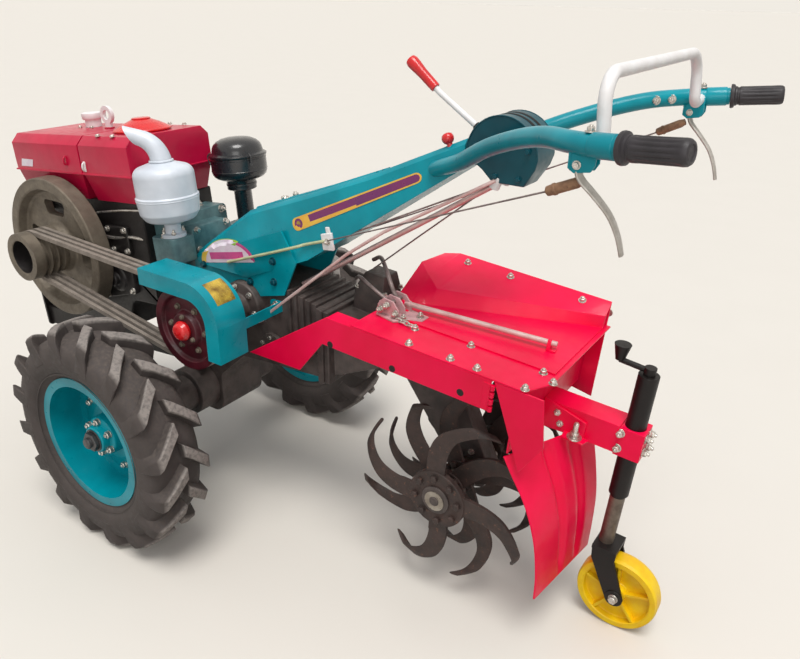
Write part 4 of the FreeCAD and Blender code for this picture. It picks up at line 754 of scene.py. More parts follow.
def band(name, look, side, ends, first, last, half, lift, round_end=True):
    """Blank band laid on the beam along the line between two ends, narrowing to the rear."""
    run = (ends[1] - ends[0]).length
    along = (ends[1] - ends[0]).normalized()
    across = Vector((along.z, 0, -along.x))
    rows = []
    for step in range(41):
        reach = first + (last - first) * (0.5 - 0.5 * math.cos(math.pi * step / 40))
        from_end = min(reach - first, last - reach) if round_end else half
        wide = half * math.sqrt(max(1 - max(1 - from_end / half, 0) ** 2, 0.01)) * (1.15 - 0.35 * reach / run)
        rows.append([ends[0] + along * reach + across * (wide * share) for share in (-1, -0.5, 0, 0.5, 1)])
    bm = bmesh.new()
    film(bm, side, rows, lift)
    piece(name, look, bm)


def fan(name, look, side, centre, spokes, shares, turns, lift):
    """Blank label round a centre: its two half spokes are turned along an arc and drawn out to the shares."""
    rows = [[centre + (spokes[0] * ahead + spokes[1] * up) * share for share in shares] for ahead, up in turns]
    bm = bmesh.new()
    film(bm, side, rows, lift)
    piece(name, look, bm)


def beam_labels():
    """Blank plum band with its yellow border and round end, and the half-round blank label below it."""
    side = skin_of("handle_beam")
    ends = Vector((-372, 70, 821)), Vector((-676, 50, 966))
    run = (ends[1] - ends[0]).length
    along = (ends[1] - ends[0]).normalized()
    across = Vector((along.z, 0, -along.x))
    band("beam_band_border", vinyl_yellow, side, ends, -17, run + 10, 13, 0.5)
    band("beam_band", vinyl_plum, side, ends, 14, run + 6, 9.5, 0.9)
    band("beam_band_middle", vinyl_purple, side, ends, run * 0.34, run * 0.68, 9.5, 1.1, False)
    for name, look, radius, lift in (("beam_roundel_edge", vinyl_yellow, 15, 1.2),
                                     ("beam_roundel", vinyl_plum, 12, 1.5), ("beam_roundel_core", gold_foil, 6, 1.8)):
        fan(name, look, side, ends[0] + along * 2, (along * radius, across * radius), (0.02, 0.5, 1),
            arc(25, 1, 0, 360), lift)
    foot, far = Vector((-56, 84, 666)), Vector((-240, 84, 705))
    way = (far - foot).normalized()
    rise = Vector(UP) - way * way.z
    half = (far - foot).length / 2
    middle = (foot + far) / 2
    for name, look, inner, outer, low, high, lift in (
            ("white", vinyl_white, 0.02, 0.99, 0, 180, 0.5), ("green", vinyl_green, 0.84, 1.02, 42, 120, 0.9),
            ("yellow", vinyl_yellow, 0.84, 1.02, 2, 42, 0.9), ("lilac", vinyl_pink, 0.9, 1.02, 120, 178, 0.9)):
        fan("side_label_" + name, look, side, middle, (way * -half, rise * (half * 0.62)),
            [inner + (outer - inner) * step / 8 for step in range(9)], arc(41, 1, low, high), lift)
    bm = bmesh.new()
    film(bm, side, [[middle + rise * (18 + up) + way * ahead for ahead in range(-60, 61, 15)] for up in (-9, 0, 9)],
         0.9)
    piece("side_label_bar", vinyl_pink, bm)


def guard_trim():
    """Blank gold label on the guard's bend, and the guard's bolts."""
    bm = bmesh.new()
    sheet(bm, [[bm.verts.new((-222 - back, left + step / 4, 618 + up)) for left in (206, 220, 234, 248, 261)]
               for step, (up, back) in enumerate(arc(13, 95.5, 20, 57.5))])
    piece("guard_label", gold_foil, bm)
    bm = bmesh.new()
    for ahead, up in ((-300, 610), (-292, 601)):
        stud(bm, (ahead, 78.4, up), LEFT, 12, 7, 9, 4)
    piece("guard_bolts", zinc, bm, bevel=0.5)


def beam_fasteners():
    """Bolts of the cheeks, of the beam and the clutch's bearing cover, and of the gearbox's covers."""
    side = skin_of("handle_beam", "gearbox_case")
    bm = bmesh.new()
    for ahead, up in ((-222, 652), (-300, 668), (-300, 720), (-60, 625), (-130, 612), (-60, 662)):
        for hand in SIDES:
            fasten(bm, hexagon, (13, 7, 10), side, [(ahead, hand * 90, up)], (0, -hand, 0))
    # The cheeks' bolts wear the teal darkened as painted shade
    piece("cheek_bolts", teal_painted_shade, bm, bevel=0.6)
    bm = bmesh.new()
    fasten(bm, stud, (13, 8, 10, 5), side, [(-284, 6, 900), (-292, -22, 900)], DOWN, stand=120)
    fasten(bm, hexagon, (11, 6, 8), side, moved((-198, 130, 589), [(ahead, 0, up) for ahead, up in circle(6, 48, 15)]),
           RIGHT)
    piece("beam_bolts", zinc, bm, bevel=0.5)
    bm = bmesh.new()
    for ahead, up, radius, out in ((-280, 490, 28, 85), (-120, 500, 40, 87), (-390, 530, 26, 83)):
        for hand in SIDES:
            bolt_circle(bm, hexagon, (10, 6), 5, radius, (ahead, hand * out, up), hand=hand)
    piece("case_bolts", zinc, bm, bevel=0.5)


def clutch_cable():
    """Sheathed clutch wire along the beam's side, its clamp, and the wires up to the levers' rusty sleeves."""
    side = skin_of("handle_beam")
    route = smooth_path([(-150, 0, 688), (-219, 0, 713), (-320, 0, 750), (-400, 0, 780), (-461, 0, 800)])
    outer = [seat(side, (point.x, 140, point.z), RIGHT, stand=60)[0].y for point in route]
    bm = bmesh.new()
    sweep(bm, [(point.x, max(outer[max(index - 3, 0):index + 4]) + 4, point.z) for index, point in enumerate(route)],
          3.4, 8)
    piece("cable_sheath", cable_cream, bm)
    bm = bmesh.new()
    sleeves = [((-1048.5, 286, 1044.3), (-1103, 287, 1068)), ((-1040, -284, 1048), (-1096, -286, 1076))]
    sweep(bm, [(-461, 74, 800), sleeves[0][0]], 1.7, 6)
    sweep(bm, [(-461, -62, 790), sleeves[1][0]], 1.7, 6)
    sweep(bm, [(-461, 66, 797), (-620, 52, 872), (-800, 34, 958), (-842, 28, 980)], 2.0, 6)
    sweep(bm, [(-530, -6, 726), (-660, 4, 832), (-842, 10, 980)], 1.8, 6)
    piece("pull_wires", lever_paint, bm)
    bm = bmesh.new()
    for start, end in sleeves:
        way = Vector(end) - Vector(start)
        lathe(bm, [(0, 0), (4, 0.5), (7.4, 3), (8, 10), (8, 50), (6.4, 56), (6.2, 59.5), (0, 60)], start, way, 24)
        lathe(bm, [(8.1, 12), (9, 13), (9, 17), (8.1, 18)], start, way, 24)
    piece("cable_sleeves", rusty_tube, bm, bevel=0.5)
    bm = bmesh.new()
    place = seat(side, (-461, 90, 797), RIGHT, stand=60)[0]
    prism(bm, moved(place, [(-16, -2, -18), (14, -2, -22), (20, -2, 14), (-10, -2, 22)]), (0, 7, 0))
    prism(bm, moved(place, [(-6, -2, 18), (6, -2, 16), (8, -2, 32), (-2, -2, 33)]), (0, 5, 0))
    piece("cable_clamp", white_sleeve, bm, bevel=1.5)
    bm = bmesh.new()
    stud(bm, place + Vector((0, 5, 0)), LEFT, 10, 6, 8, 4)
    piece("clamp_bolt", zinc, bm, bevel=0.4)


def selector_linkage():
    """Bracket with its lugs on the deck's front edge, levers to the tiller's cover, chain and the clutch rod."""
    bm = bmesh.new()
    prism(bm, [(132, 56, 356), (236, 44, 356), (243, 70, 356), (232, 116, 356), (180, 126, 356), (158, 96, 356),
               (132, 84, 356)], (0, 0, 5))
    for across in (56, 82, 106):
        plate(bm, [(176, 361), (232, 361), (234, 380), (220, 398), (194, 396), (178, 378)], across, 4)
    prism(bm, [(228, 52, 361), (232, 52, 361), (232, 108, 361), (228, 108, 361)], (0, 0, 26))
    piece("selector_bracket", pink_lever, bm, TILLER, 1.0)
    bm = bmesh.new()
    sweep(bm, smooth_path([(330, -4, 423), (300, 10, 440), (256, 50, 434), (226, 70, 410), (208, 72, 384)], 6), 5)
    sweep(bm, smooth_path([(352, 30, 380), (320, 60, 402), (268, 88, 402), (222, 92, 386)], 6), 4, 8)
    bar(bm, (206, 50, 386), (206, 116, 386), 5, 14)
    bar(bm, (222, 50, 373), (222, 116, 373), 4, 14)
    piece("selector_levers", lever_paint, bm, TILLER, 0.4)
    bm = bmesh.new()
    for place, out in (((206, 116, 386), LEFT), ((222, 116, 373), LEFT), ((186, 110, 370), LEFT),
                       ((146, 70, 361), UP), ((168, 104, 361), UP), ((236, 66, 361), UP)):
        stud(bm, place, out, 12, 7, 9, 4)
    piece("selector_nuts", zinc, bm, TILLER, 0.4)
    bm = bmesh.new()
    for index in range(4):
        ring = [(7.5 * ahead, 0, 4.5 * up) if index % 2 == 0 else (7.5 * ahead, 4.5 * up, 0)
                for ahead, up in arc(17, 1, 0, 360)]
        sweep(bm, moved((172 - 11 * index, 116 + index, 362), ring), 1.7, 6, caps=False)
    piece("selector_chain", zinc, bm, TILLER)
    bm = bmesh.new()
    sweep(bm, [(-842, 34, 982), (-620, 84, 852), (-530, 92, 788), (-300, 116, 594), (-282, 116, 578)], 3.6)
    bar(bm, (-282, 104, 578), (-282, 124, 578), 6.5, 16)
    piece("clutch_rod", pink_steel, bm, bevel=0.4)
    bm = bmesh.new()
    plate(bm, [(-236, 572), (-236, 548), (-276, 566), (-292, 572), (-292, 588), (-276, 590)], 104, 6)
    bar(bm, (-240, 84, 562), (-240, 114, 562), 9, 20)
    piece("clutch_arm", iron_grey, bm, bevel=1)


def engine_far_side():
    """Gear cover with its screws, the crank dog and the dip stick on the engine's right side."""
    face = seat(skin_of("engine_block"), (0, -200, 0), LEFT, ENGINE)[0].y
    outline = [(-170, -150), (-60, -176), (90, -150), (130, -60), (120, 60), (40, 96), (-110, 96), (-180, 20)]
    bm = bmesh.new()
    plate(bm, outline, face, -9)
    plate(bm, [(along * 0.86 - 3, up * 0.86 - 4) for along, up in outline], face - 9, -7)
    lathe(bm, [(0, 0), (42, 0), (40, 10), (26, 14), (26, 22), (0, 22)], (-20, face - 16, -18), RIGHT, 48)
    piece("gear_cover", engine_black, bm, ENGINE, 3)
    bm = bmesh.new()
    for (along, up), after in zip(outline, outline[1:] + outline[:1]):
        for share in (0.05, 0.55):
            hexagon(bm, (0.93 * (along + share * (after[0] - along)) - 1, face - 9,
                         0.93 * (up + share * (after[1] - up)) - 2), RIGHT, 10, 6, 7)
    piece("gear_cover_screws", zinc, bm, ENGINE, 0.4)
    bm = bmesh.new()
    lathe(bm, [(9, 0), (17, 0), (17, 5), (11, 6.5), (11, 17), (8, 18), (7, 6)], (-20, face - 38, -18), RIGHT)
    sweep(bm, smooth_path([(-150, face - 4, 60), (-152, face - 14, 74), (-150, face - 14, 104)], 5), 4)
    lathe(bm, [(0, 0), (11, 0), (12, 4), (12, 12), (8, 15), (0, 15)], (-150, face - 14, 104), UP, 24)
    piece("crank_dog", iron_grey, bm, ENGINE, 0.5)


engine_far_side()
beam_labels()
guard_trim()
beam_fasteners()
clutch_cable()
selector_linkage()


# Handles and levers

BOX_FOOT = 975


def at_arm(side, ahead, left, up):
    """Place by the arms, its height measured from the control box's foot."""
    return Vector((ahead, side * left, BOX_FOOT + up))


ARM_ROUTE = [(-712, 37, 12), (-790, 82, 43), (-870, 130, 86), (-950, 186, 118), (-1020, 242, 138), (-1080, 290, 145),
             (-1120, 309, 147.5), (-1160, 320.6, 150.8)]
LEVER_ROUTE = [(-1096, 297, 116), (-1102, 296, 98), (-1122, 292, 78), (-1146, 288, 52), (-1161, 285, 24),
               (-1170, 283, -5)]
# Grip stations: distance along, radius and depth of the flutes.
GRIP_STATIONS = [(1, 14, 0), (1.5, 22, 0), (4, 22.6, 0), (8, 22, 0), (10, 18.2, 0), (13, 17.8, 0), (14, 16.4, 0),
                 (17, 16.4, 0), (18, 17.8, 0), (22, 17.8, 0.2), (28, 17.6, 1.5), (50, 17.6, 1.7), (72, 17.6, 1.7),
                 (80, 17.7, 1.2), (86, 17.8, 0), (91, 17.2, 0), (94.4, 15, 0), (95.4, 11, 0), (93.6, 9.5, 0),
                 (93.4, 4, 0)]
FLUTES = 14


def handle_arm(name, side):
    """Smoothly bent handle tube from the beam to the grip, with a pressed collar."""
    bm = bmesh.new()
    sweep(bm, smooth_path([at_arm(side, *point) for point in ARM_ROUTE], 7), 16, 32)
    piece(name, teal, bm, soft=50, node="handle_arms")
    bm = bmesh.new()
    lathe(bm, [(15.8, 0), (17.6, 1.5), (17.6, 38), (15.8, 39.5)], at_arm(side, -1118, 308.5, 147.4),
          at_arm(side, *ARM_ROUTE[-1]) - at_arm(side, *ARM_ROUTE[-2]), 40)
    piece(name + "_collar", teal, bm, bevel=0.5)


def grip(name, side):
    """Moulded grip with a flange, two rings, long flutes under the fingers and a dished round end."""
    start, end = at_arm(side, *ARM_ROUTE[-1]), at_arm(side, -1253, 339, 159)
    turn = Matrix.Translation(start) @ basis_of(end - start)
    bm = bmesh.new()
    rings = []
    for along, radius, depth in GRIP_STATIONS:
        ring = []
        for step, (up, across) in enumerate(circle(8 * FLUTES, 1)):
            near = radius - depth * (0.5 + 0.5 * math.cos(math.pi * step / 4)) ** 2
            ring.append(bm.verts.new(turn @ Vector((near * across, near * up, along))))
        rings.append(ring)
    bridge(bm, rings, last=True)
    piece(name, grip_rubber, bm, soft=42, node="grips")


def clutch_lever(name, side):
    """Flat curved lever of pale metal, hung between the plates of a bracket under the arm."""
    bm = bmesh.new()
    path = smooth_path([at_arm(side, *point) for point in LEVER_ROUTE], 6)
    shares = [index / (len(path) - 1) for index in range(len(path))]
    sweep(bm, path, [11 - 3.5 * share if share > 0.12 else 7 + 33 * share for share in shares], 14, flat=0.42)
    bar(bm, at_arm(side, -1098, 308, 118), at_arm(side, -1098, 286, 118), 4.5, 16)
    piece(name, lever_alloy, bm, bevel=0.6, soft=50, node="clutch_levers")
    bm = bmesh.new()
    sides = [(-1088, 146), (-1124, 148), (-1124, 120), (-1118, 110), (-1094, 106), (-1088, 110)]
    back = [(-1088, 142), (-1084.5, 142), (-1084.5, 112), (-1088, 110)]
    for outline, left, thick in ((sides, 286, 3.5), (sides, 302.5, 3.5), (back, 286, 20)):
        prism(bm, [at_arm(side, ahead, left, up) for ahead, up in outline], (0, side * thick, 0))
    piece(name + "_bracket", teal, bm, bevel=0.8)
    bm = bmesh.new()
    for left, out in ((306, 1), (286, -1)):
        hexagon(bm, at_arm(side, -1098, left, 118), (0, side * out, 0), 9, 5, 6.5)
    piece(name + "_pins", zinc, bm, bevel=0.4)


# Quadrant: middle of its round top, and the heights between which its sides spread.
QUADRANT_AHEAD, QUADRANT_UP = -853, 1030
QUADRANT_LOW, QUADRANT_RISE = 976, 60


def quadrant_arc(count, radius, first, last):
    """Places ahead and up along the quadrant's round top."""
    return [(QUADRANT_AHEAD + ahead, QUADRANT_UP + up) for ahead, up in arc(count, radius, first, last)]


def gear_quadrant():
    """Sheet housing at the beam's end, with a slotted round top, its screws, gear lever grip, links and knob."""
    outline = quadrant_arc(33, 73, -4, 180) + [(-921, 1012), (-899, 976), (-833, 976), (-812, 998), (-790, 1014)]
    bm = bmesh.new()
    bridge(bm, [[bm.verts.new((ahead, hand * (30 + 10 * min(max((up - QUADRANT_LOW) / QUADRANT_RISE, 0), 1)), up))
                 for ahead, up in outline] for hand in SIDES], True, True)
    prism(bm, [(-840, -24, 1003), (-775.4, -24, 1003), (-775.4, 24, 1003), (-840, 24, 1003)], (0, 0, 38))
    # The quadrant wears the teal darkened as painted shade
    piece("gear_quadrant", teal_painted_shade, bm, bevel=2.2, soft=32, node="control_box")
    bm = bmesh.new()
    for hand in SIDES:
        sweep(bm, [(ahead, hand * 40.2, up) for ahead, up in quadrant_arc(25, 72.6, 4, 172)], 1.5, 8)
    for ahead, out, up in ((-800, 40.2, 1044), (-906, 40.2, 1044), (-888, 32.4, 990), (-840, 32.4, 990)):
        for hand in SIDES:
            hexagon(bm, (ahead, hand * out, up), (0, hand, 0), 9, 4, 6)
    # The quadrant's seam and screws wear the teal darkened as painted shade
    piece("quadrant_seam", teal_painted_shade, bm, bevel=0.4)
    bm = bmesh.new()
    # Dark sheets in the quadrant's two slots paint the shade seen through them; the lever's foot is in the same dull
    # black
    for slot in ((6, 15), (-15, -6)):
        sheet(bm, [[bm.verts.new((ahead, left, up)) for left in slot] for ahead, up in quadrant_arc(13, 73.5, 76, 138)])
    lathe(bm, [(17, 0), (16, 4), (12, 8), (11, 14), (7.4, 19), (0, 19)], (-792, 0, 1062), (0.84, 0, 0.55))
    piece("quadrant_slots_painted_shade", soot_and_painted_shade, bm, bevel=0.4)
    bm = bmesh.new()
    bar(bm, (-795, 0, 1060), (-762, 0, 1081.8), 6.2, 20)
    for hand in SIDES:
        lathe(bm, [(0, 0), (11, 0), (11, 24), (7, 28), (0, 28)], (-834, hand * 22, 965), (-0.4, 0, 0.9), 20)
    piece("quadrant_links", white_sleeve, bm, bevel=0.5)
    bm = bmesh.new()
    neck = Vector((-694, 0, 1126))
    way = Vector((-625, 0, 1182)) - neck
    lathe(bm, [(7, 0), (9.6, 1), (10, 10), (10.4, 40), (12.4, 62), (12.8, 71), (10.5, 77.6), (5, 79.4), (0, 79.6)],
          neck + way.normalized() * 12, way)
    piece("gear_grip", scarlet, bm, soft=50, node="gear_lever_grip")
    bm = bmesh.new()
    lathe(bm, [(0, -3), (6, -3), (6, 3), (9, 5), (12, 10), (12.4, 15), (10, 21), (5, 23.6), (0, 24)],
          *seat(skin_of("handle_beam"), (-736, 26, 1100), DOWN, stand=100))
    piece("lock_knob", scarlet, bm, soft=50)


def loop_trim():
    """Bolts that clamp the hand loop's feet, on the inner side of the two arms."""
    bm = bmesh.new()
    for side in SIDES:
        stud(bm, at_arm(side, -1112, 306, 164), UP, 10, 6, 8, 3)
        for ahead, left, up in ((-1042, 242, 141), (-1066, 262, 143)):
            stud(bm, at_arm(side, ahead, left, up), (0, -side, 0), 11, 7, 9, 4)
    piece("arm_bolts", zinc, bm, bevel=0.4)


grip("grip_left", 1)
grip("grip_right", -1)
clutch_lever("clutch_lever_left", 1)
clutch_lever("clutch_lever_right", -1)
gear_quadrant()
handle_arm("handle_arm_left", 1)
handle_arm("handle_arm_right", -1)
loop_trim()


# Tiller

# Shield: left and right edge seen from the side, its width and where its two grooves run, as shares of it.
SHIELD_LEFT = [(-146, 0, 191.7), (-168, 0, 158), (-208, 0, 98), (-240, 0, 22), (-258, 0, -60), (-264, 0, -123)]
SHIELD_RIGHT = [(-244, 0, 191.7), (-256, 0, 150), (-272, 0, 90), (-286, 0, 20), (-292, 0, -60), (-294, 0, -124)]
SHIELD_EDGE, SHIELD_WIDTH, GROOVES, GROOVE_HALF = 188.7, 230.7, (0.44, 0.74), 0.075
# Blade stations: distance from the axis as a share of the reach, distance aside, bend, lean in degrees, width.
BLADE_STATIONS = [(0.14, 0, 0, 0, 44), (0.35, 0, 0, 2, 46), (0.55, 0, 0, 6, 46), (0.72, 1.5, 6, 12, 45),
                  (0.84, 5, 18, 20, 42), (0.915, 10.5, 36, 26, 39), (0.96, 18, 55, 31, 36), (0.98, 35, 82, 40, 20)]
BLADE_REACH = 218
# Blade flanges: place on the shaft, side the blades bend to, first angle, radius and radius of the bolts.
HUBS = [(172, -1, 10, 70, 54), (120, 1, 55, 40, 32), (68, -1, 28, 40, 32), (-68, 1, 70, 40, 32),
        (-120, -1, 15, 40, 32), (-172, 1, 50, 70, 54)]


def deck_trim():
    """Bolts of the deck and the hood, dark discs that paint the shade in the side bar's holes, and the shield's hinge.
    """
    top = skin_of("deck_plate", "hood")
    bm = bmesh.new()
    fasten(bm, stud, (12, 7, 9, 4), top, [(ahead, left, 760) for ahead, left in (
        (-724, 140), (-821, 138), (-881, 137), (-697, 75), (-826, 62), (-989, 64), (-1020, 88), (-987, 143),
        (-665, -207), (-778, -210), (-953, -220))], DOWN)
    fasten(bm, stud, (12, 7, 9, 4), top, [(-1010, -250, 655), (-880, -250, 640), (-720, -250, 650)], LEFT)
    piece("deck_bolts", zinc, bm, bevel=0.4)
    # Dark discs on the side bar paint the shade inside its holes
    near = skin_of("side_bars")
    bm = bmesh.new()
    for place in ((-523.6, 170, 593), (-689.5, 170, 584), (-853.6, 170, 581)):
        lathe(bm, [(0, 0.3), (7, 0.3), (8, 0.1)], *seat(near, place, RIGHT, stand=60), 24)
    piece("bar_holes_painted_shade", soot_and_painted_shade, bm)
    bm = bmesh.new()
    for up in (338, 322, 306, 290):
        lathe(bm, [(0, -5.5), (5, -5.5), (5, 5.5), (0, 5.5)], (-101, 194.5, up), UP, 16)
    plate(bm, [(-96, 344), (-80, 344), (-80, 284), (-96, 284)], 189, 5.5)
    piece("shield_hinge", tiller_red, bm, TILLER, 0.6)


def shield_sheets():
    """Rear panel, the curved shield with its two soft pressed grooves, and the side plate."""
    edges = list(zip(smooth_path(SHIELD_LEFT, 6), smooth_path(SHIELD_RIGHT, 6)))
    columns, bottom = 44, len(edges) - 1
    bm = bmesh.new()
    faces = []
    for proud in (0, 4):
        grid = []
        for index, (near, far) in enumerate(edges):
            fade = min(index / 4, (bottom - index) / 4, 1)
            line = []
            for column in range(columns + 1):
                share = column / columns
                press = sum(10 * fade * (0.5 + 0.5 * math.cos(math.pi * min(abs(share - groove) / GROOVE_HALF, 1)))
                            for groove in GROOVES)
                spot = near.lerp(far, share)
                line.append(bm.verts.new((spot.x + press + proud, SHIELD_EDGE - SHIELD_WIDTH * share, spot.z)))
            grid.append(line)
        sheet(bm, grid)
        faces.append(grid)
    back, front = faces
    for column in (0, columns):
        sheet(bm, [[row[column] for row in back], [row[column] for row in front]])
    for row in (0, bottom):
        sheet(bm, [back[row], front[row]])
    prism(bm, [(-150, -186, 200), (-146, -186, 200), (-146, 186, 200), (-150, 186, 200)], (0, 0, 150.7))
    plate(bm, [(-102, 350.7), (-205, 350.7), (-221, 249), (-180, 172)], 189, 4)
    piece("rear_shield_pressed", tiller_red, bm, TILLER, 0.8, 40, node="rear_shield")


def hood_adjuster():
    """Adjusting rod over the hood, held by two small folded brackets."""
    at = shifted(TILLER, (32.5, 35, 358.9), 7.8, "Z")
    bm = bmesh.new()
    bar(bm, (-184, 0, 16), (214, 0, 16), 6, 24)
    lathe(bm, [(6.2, 0), (7.6, 1), (7.6, 9), (6.2, 10)], (150, 0, 16), AHEAD, 24)
    piece("hood_rod_bright", pink_steel, bm, at, 0.6, node="hood_rod")
    bm = bmesh.new()
    for ahead in (164, -172):
        prism(bm, [(ahead, across, up) for across, up in ((-10, 0), (10, 0), (10, 3), (8, 14), (5, 22), (0, 24.5),
                                                          (-5, 22), (-8, 14), (-10, 3))], (8, 0, 0))
        prism(bm, [(ahead - 12, -10, 0), (ahead + 1, -10, 0), (ahead + 1, 10, 0), (ahead - 12, 10, 0)], (0, 0, 3))
    piece("hood_rod_brackets", tiller_red, bm, at, 0.6)


def blade_ring(bm, turn, hand, share, aside, bend, lean, width):
    """Section of a blade at a station: sharpened to the front beyond the root, bent aside and leaning back."""
    bend, lean = math.radians(bend), math.radians(lean)
    ring = []
    for wide, through in ((-0.5, -0.8), (-0.3, -4), (0.5, -4), (0.5, 4), (-0.3, 4), (-0.5, 0.8)):
        wide = width * (math.copysign(0.5, wide) if share < 0.45 else wide)
        out = share * BLADE_REACH - through * math.sin(bend)
        ring.append(bm.verts.new(turn @ Vector((
            -out * math.sin(lean) + wide * math.cos(lean), hand * (aside + through * math.cos(bend)),
            out * math.cos(lean) + wide * math.sin(lean)))))
    return ring


def curved_blades():
    """Scimitar blades with a ground edge, forged in one curve from hub to tip, on turned flanges."""
    ends = BLADE_STATIONS[:1] + BLADE_STATIONS + BLADE_STATIONS[-1:]
    stations = [[between(*values, step / 4) for values in zip(*ends[index - 1:index + 3])]
                for index in range(1, len(ends) - 2) for step in range(4)] + [BLADE_STATIONS[-1]]
    bm = bmesh.new()
    for across, hand, first, radius, _ in HUBS:
        for index in range(4):
            turn = Matrix.Translation((0, across, 0)) @ Matrix.Rotation(math.radians(first + 90 * index), 4, "Y")
            bridge(bm, [blade_ring(bm, turn, hand, *station) for station in stations], True, True)
        lathe(bm, [(24.1, -7), (radius - 1, -7), (radius, -6), (radius, 6), (radius - 1, 7), (24.1, 7)],
              (0, across, 0), LEFT, 64, True)
    piece("rotor_blades", blade_paint, bm, TILLER, soft=40, body="rotor", node="rotor_tines")


def tail_trim():
    """Bolts of the depth wheel's arm and clamp, the gusset behind the shield and its tension bolt."""
    bm = bmesh.new()
    for beside, behind in ((240, 238), (204, 206)):
        for hand in SIDES:
            stud(bm, (-318, hand * 27.3, beside), (0, hand, 0), 13, 8, 10, 6)
        for across in (12, -14):
            stud(bm, (-366.3, across, behind), (-1, 0, 0), 13, 8, 10, 6)
    for along, up in ((-186, 238), (-196, 214), (-232, 206)):
        stud(bm, (along, 30.2, up), LEFT, 14, 8, 11, 6)
    piece("arm_clamp_bolts", zinc, bm, TILLER, 0.5)
    bm = bmesh.new()
    plate(bm, [(-154, 260), (-250, 236), (-250, 196), (-154, 192)], 30.4, 5)
    prism(bm, [(-206, 35, 196), (-262, 35, 196), (-256, 58, 196), (-210, 58, 196)], (0, 0, 5))
    piece("arm_gusset", tiller_red, bm, TILLER, 1.2)
    bm = bmesh.new()
    lathe(bm, [(0, 0), (16, 0), (16, 3), (9, 4), (9, 10), (6, 11), (6, 34), (4, 37), (0, 37)], (-234, 47, 201), UP, 20)
    hexagon(bm, (-234, 47, 205), UP, 17, 10)
    piece("tension_bolt", zinc, bm, TILLER, 0.4)


def depth_wheel_trim():
    """Axle nuts and fork ends of the depth wheel, the leg's worn tube and the wheel's beads."""
    bm = bmesh.new()
    for hand in SIDES:
        hexagon(bm, (0, hand * 35.6, 0), (0, hand, 0), 17, 8, 11)
    piece("fork_nuts", zinc, bm, TAIL, 0.6, body="depth_leg")
    bm = bmesh.new()
    for hand in SIDES:
        lathe(bm, [(radius, hand * out) for radius, out in ((0, 33.5), (20, 33.5), (20, 35), (19, 35.8), (0, 35.8))],
              axis=LEFT, steps=48)
    piece("fork_ends", satin_black, bm, TAIL, 0.4, body="depth_leg")
    bm = bmesh.new()
    lathe(bm, [(16.05, -50), (16.25, -49), (16.25, 74), (16.05, 75)], (-339, 0, 0), UP, 48)
    piece("leg_worn_tube", worn_tube, bm, TILLER, body="depth_leg")
    bm = bmesh.new()
    for hand in SIDES:
        lathe(bm, [(16, hand * 21.4), (19, hand * 22.2), (16, hand * 23)], axis=LEFT)
        lathe(bm, [(74, hand * 20), (76, hand * 21.8), (78, hand * 20)], axis=LEFT, steps=72)
    piece("tail_wheel_beads", yellow, bm, TAIL, body="tail_wheel")


def rotor_trim():
    """Bolts that hold the blades to their flanges, and the caps on the shaft's ends."""
    bm = bmesh.new()
    for across, _, first, _, bolts in HUBS:
        out = 1 if across > 0 else -1
        bolt_circle(bm, hexagon, (15, 8), 8, bolts, (0, across + 7 * out, 0), first, out)
    piece("blade_bolts", blade_paint, bm, TILLER, 0.8, body="rotor")
    bm = bmesh.new()
    for hand in SIDES:
        lathe(bm, [(26, hand * 179.2), (34, hand * 179.4), (34, hand * 183), (24, hand * 184.5)], axis=LEFT, steps=40)
        lathe(bm, [(0, hand * 187.1), (12, hand * 187.1), (10, hand * 189.5), (0, hand * 189.6)], axis=LEFT, steps=24)
    piece("shaft_caps", cast_case, bm, TILLER, 0.8, body="rotor")


def case_trim():
    """Nuts of the gearbox's rear flange, and bolts of the tiller's chain case and its covers."""
    bm = bmesh.new()
    for up in (459, 509, 559, 609):
        for left in (70, -70):
            stud(bm, (-434, left, up), AHEAD, 15, 9, 11, 5)
    piece("flange_bolts", zinc, bm, bevel=0.5)
    bm = bmesh.new()
    for along in (344, 268):
        for across in (32, -32):
            hexagon(bm, (along, across, 361), UP, 11, 6, 8)
    for hand in SIDES:
        bolt_circle(bm, hexagon, (11, 6, 8), 6, 42, (0, hand * 25.2, 0), hand=hand)
    piece("cover_bolts", zinc, bm, TILLER, 0.5)


deck_trim()
shield_sheets()
hood_adjuster()
curved_blades()
tail_trim()
depth_wheel_trim()
rotor_trim()
case_trim()


# Floor, lights and camera

def seen_directly(tree):
    """One where the eye looks, also in gloss or through glass, and nought for the light that surfaces get."""
    path = add(tree, "LightPath").outputs
    mirrored = add(tree, "Math", GREATER, {0: path["Is Glossy Ray"], 1: path["Is Transmission Ray"]})
    return add(tree, "Math", GREATER, {0: path["Is Camera Ray"], 1: mirrored.outputs[0]}).outputs[0]


def floor():
    """Pale floor that runs on past what the camera sees; light that it throws back up is that of a greyer one."""
    far, deep = 60000, 60
    bm = bmesh.new()
    prism(bm, [(-far, -far, -deep), (far, -far, -deep), (far, far, -deep), (-far, far, -deep)], (0, 0, deep))
    look = finish("floor_screed", "DBD5CB", "DAD4CA", 0.85, patch=300, grain=6, uneven=0.01)
    tree = look.node_tree
    colour = [node for node in tree.nodes if node.type == "BSDF_PRINCIPLED"][0].inputs["Base Color"]
    shown = add(tree, "Mix", COLOURS, {0: seen_directly(tree), 6: linear("8C8680"), 7: colour.links[0].from_socket})
    tree.links.new(shown.outputs[2], colour)
    object_of("floor", mesh_of("floor", bm, MILLI), look, SHARP)


def lamp(name, kind, way, power, colour):
    """Light of a kind that shines along a way."""
    data = bpy.data.lights.new(name, kind)
    data.energy = power
    data.color = colour
    thing = bpy.data.objects.new(name, data)
    thing.rotation_euler = way.to_track_quat("-Z", "Y").to_euler()
    scene.collection.objects.link(thing)
    return thing


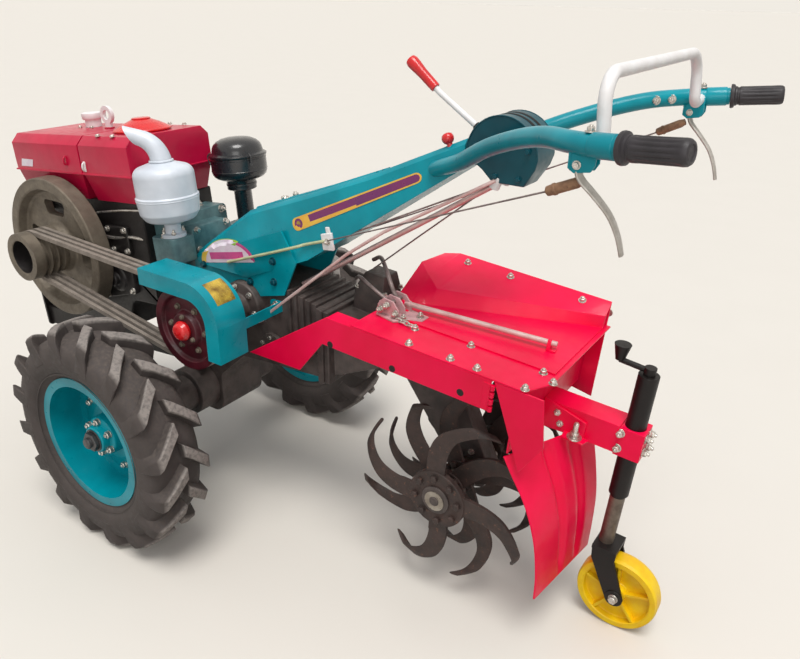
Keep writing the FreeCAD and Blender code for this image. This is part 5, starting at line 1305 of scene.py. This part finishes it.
def lights():
    """Broad even light from a far lamp, the same all over the floor, and a soft square one near by, in metres."""
    key = lamp("key", "SUN", -Vector((-1.0, 1.3, 4.6)), 2.1, (1, 0.985, 0.965))
    key.data.angle = math.radians(28)
    place = Vector((-2.2, 3.2, 1.8))
    fill = lamp("near_fill", "AREA", Vector((0, 0, 0.6)) - place, 30, (1, 0.99, 0.97))
    fill.data.shape = "SQUARE"
    fill.data.size = 2.0
    fill.location = place


def sky():
    """Pale surroundings for eye, gloss and glass, and a softer light from above for the surfaces."""
    world = bpy.data.worlds.new("sky")
    world.use_nodes = True
    tree = world.node_tree
    tree.nodes.clear()
    height = add(tree, "SeparateXYZ", None, {0: add(tree, "TexCoord").outputs["Generated"]}).outputs[2]
    up = add(tree, "MapRange", None, {0: height, 1: -0.1, 2: 0.9}).outputs[0]
    light = add(tree, "Mix", COLOURS, {0: up, 6: linear("6E6A68"), 7: linear("E2E6EC")}).outputs[2]
    colour = add(tree, "Mix", COLOURS, {0: seen_directly(tree), 6: light, 7: linear("F1ECE3")}).outputs[2]
    backdrop = add(tree, "Background", None, {0: colour, 1: 1.0})
    add(tree, "OutputWorld", None, {0: backdrop.outputs[0]})
    scene.world = world


def camera():
    """Camera at the photograph's place, angle and lens."""
    yaw, pitch, roll = math.radians(33.537), math.radians(24.991), math.radians(0.825)
    ahead = Vector((math.sin(yaw) * math.cos(pitch), -math.cos(yaw) * math.cos(pitch), -math.sin(pitch)))
    right = ahead.cross(Vector(UP)).normalized()
    up = right.cross(ahead)
    turned_right = right * math.cos(roll) + up * math.sin(roll)
    turned_up = up * math.cos(roll) - right * math.sin(roll)
    data = bpy.data.cameras.new("camera")
    data.lens = 33.137
    data.sensor_width = 36
    data.clip_start = 0.05
    thing = bpy.data.objects.new("camera", data)
    thing.matrix_world = (Matrix.Translation((-1.147078, 1.2798, 1.3117))
                          @ Matrix((turned_right, turned_up, -ahead)).transposed().to_4x4())
    scene.collection.objects.link(thing)
    scene.camera = thing


floor()
sky()
lights()
camera()
scene.view_settings.view_transform = "Standard"
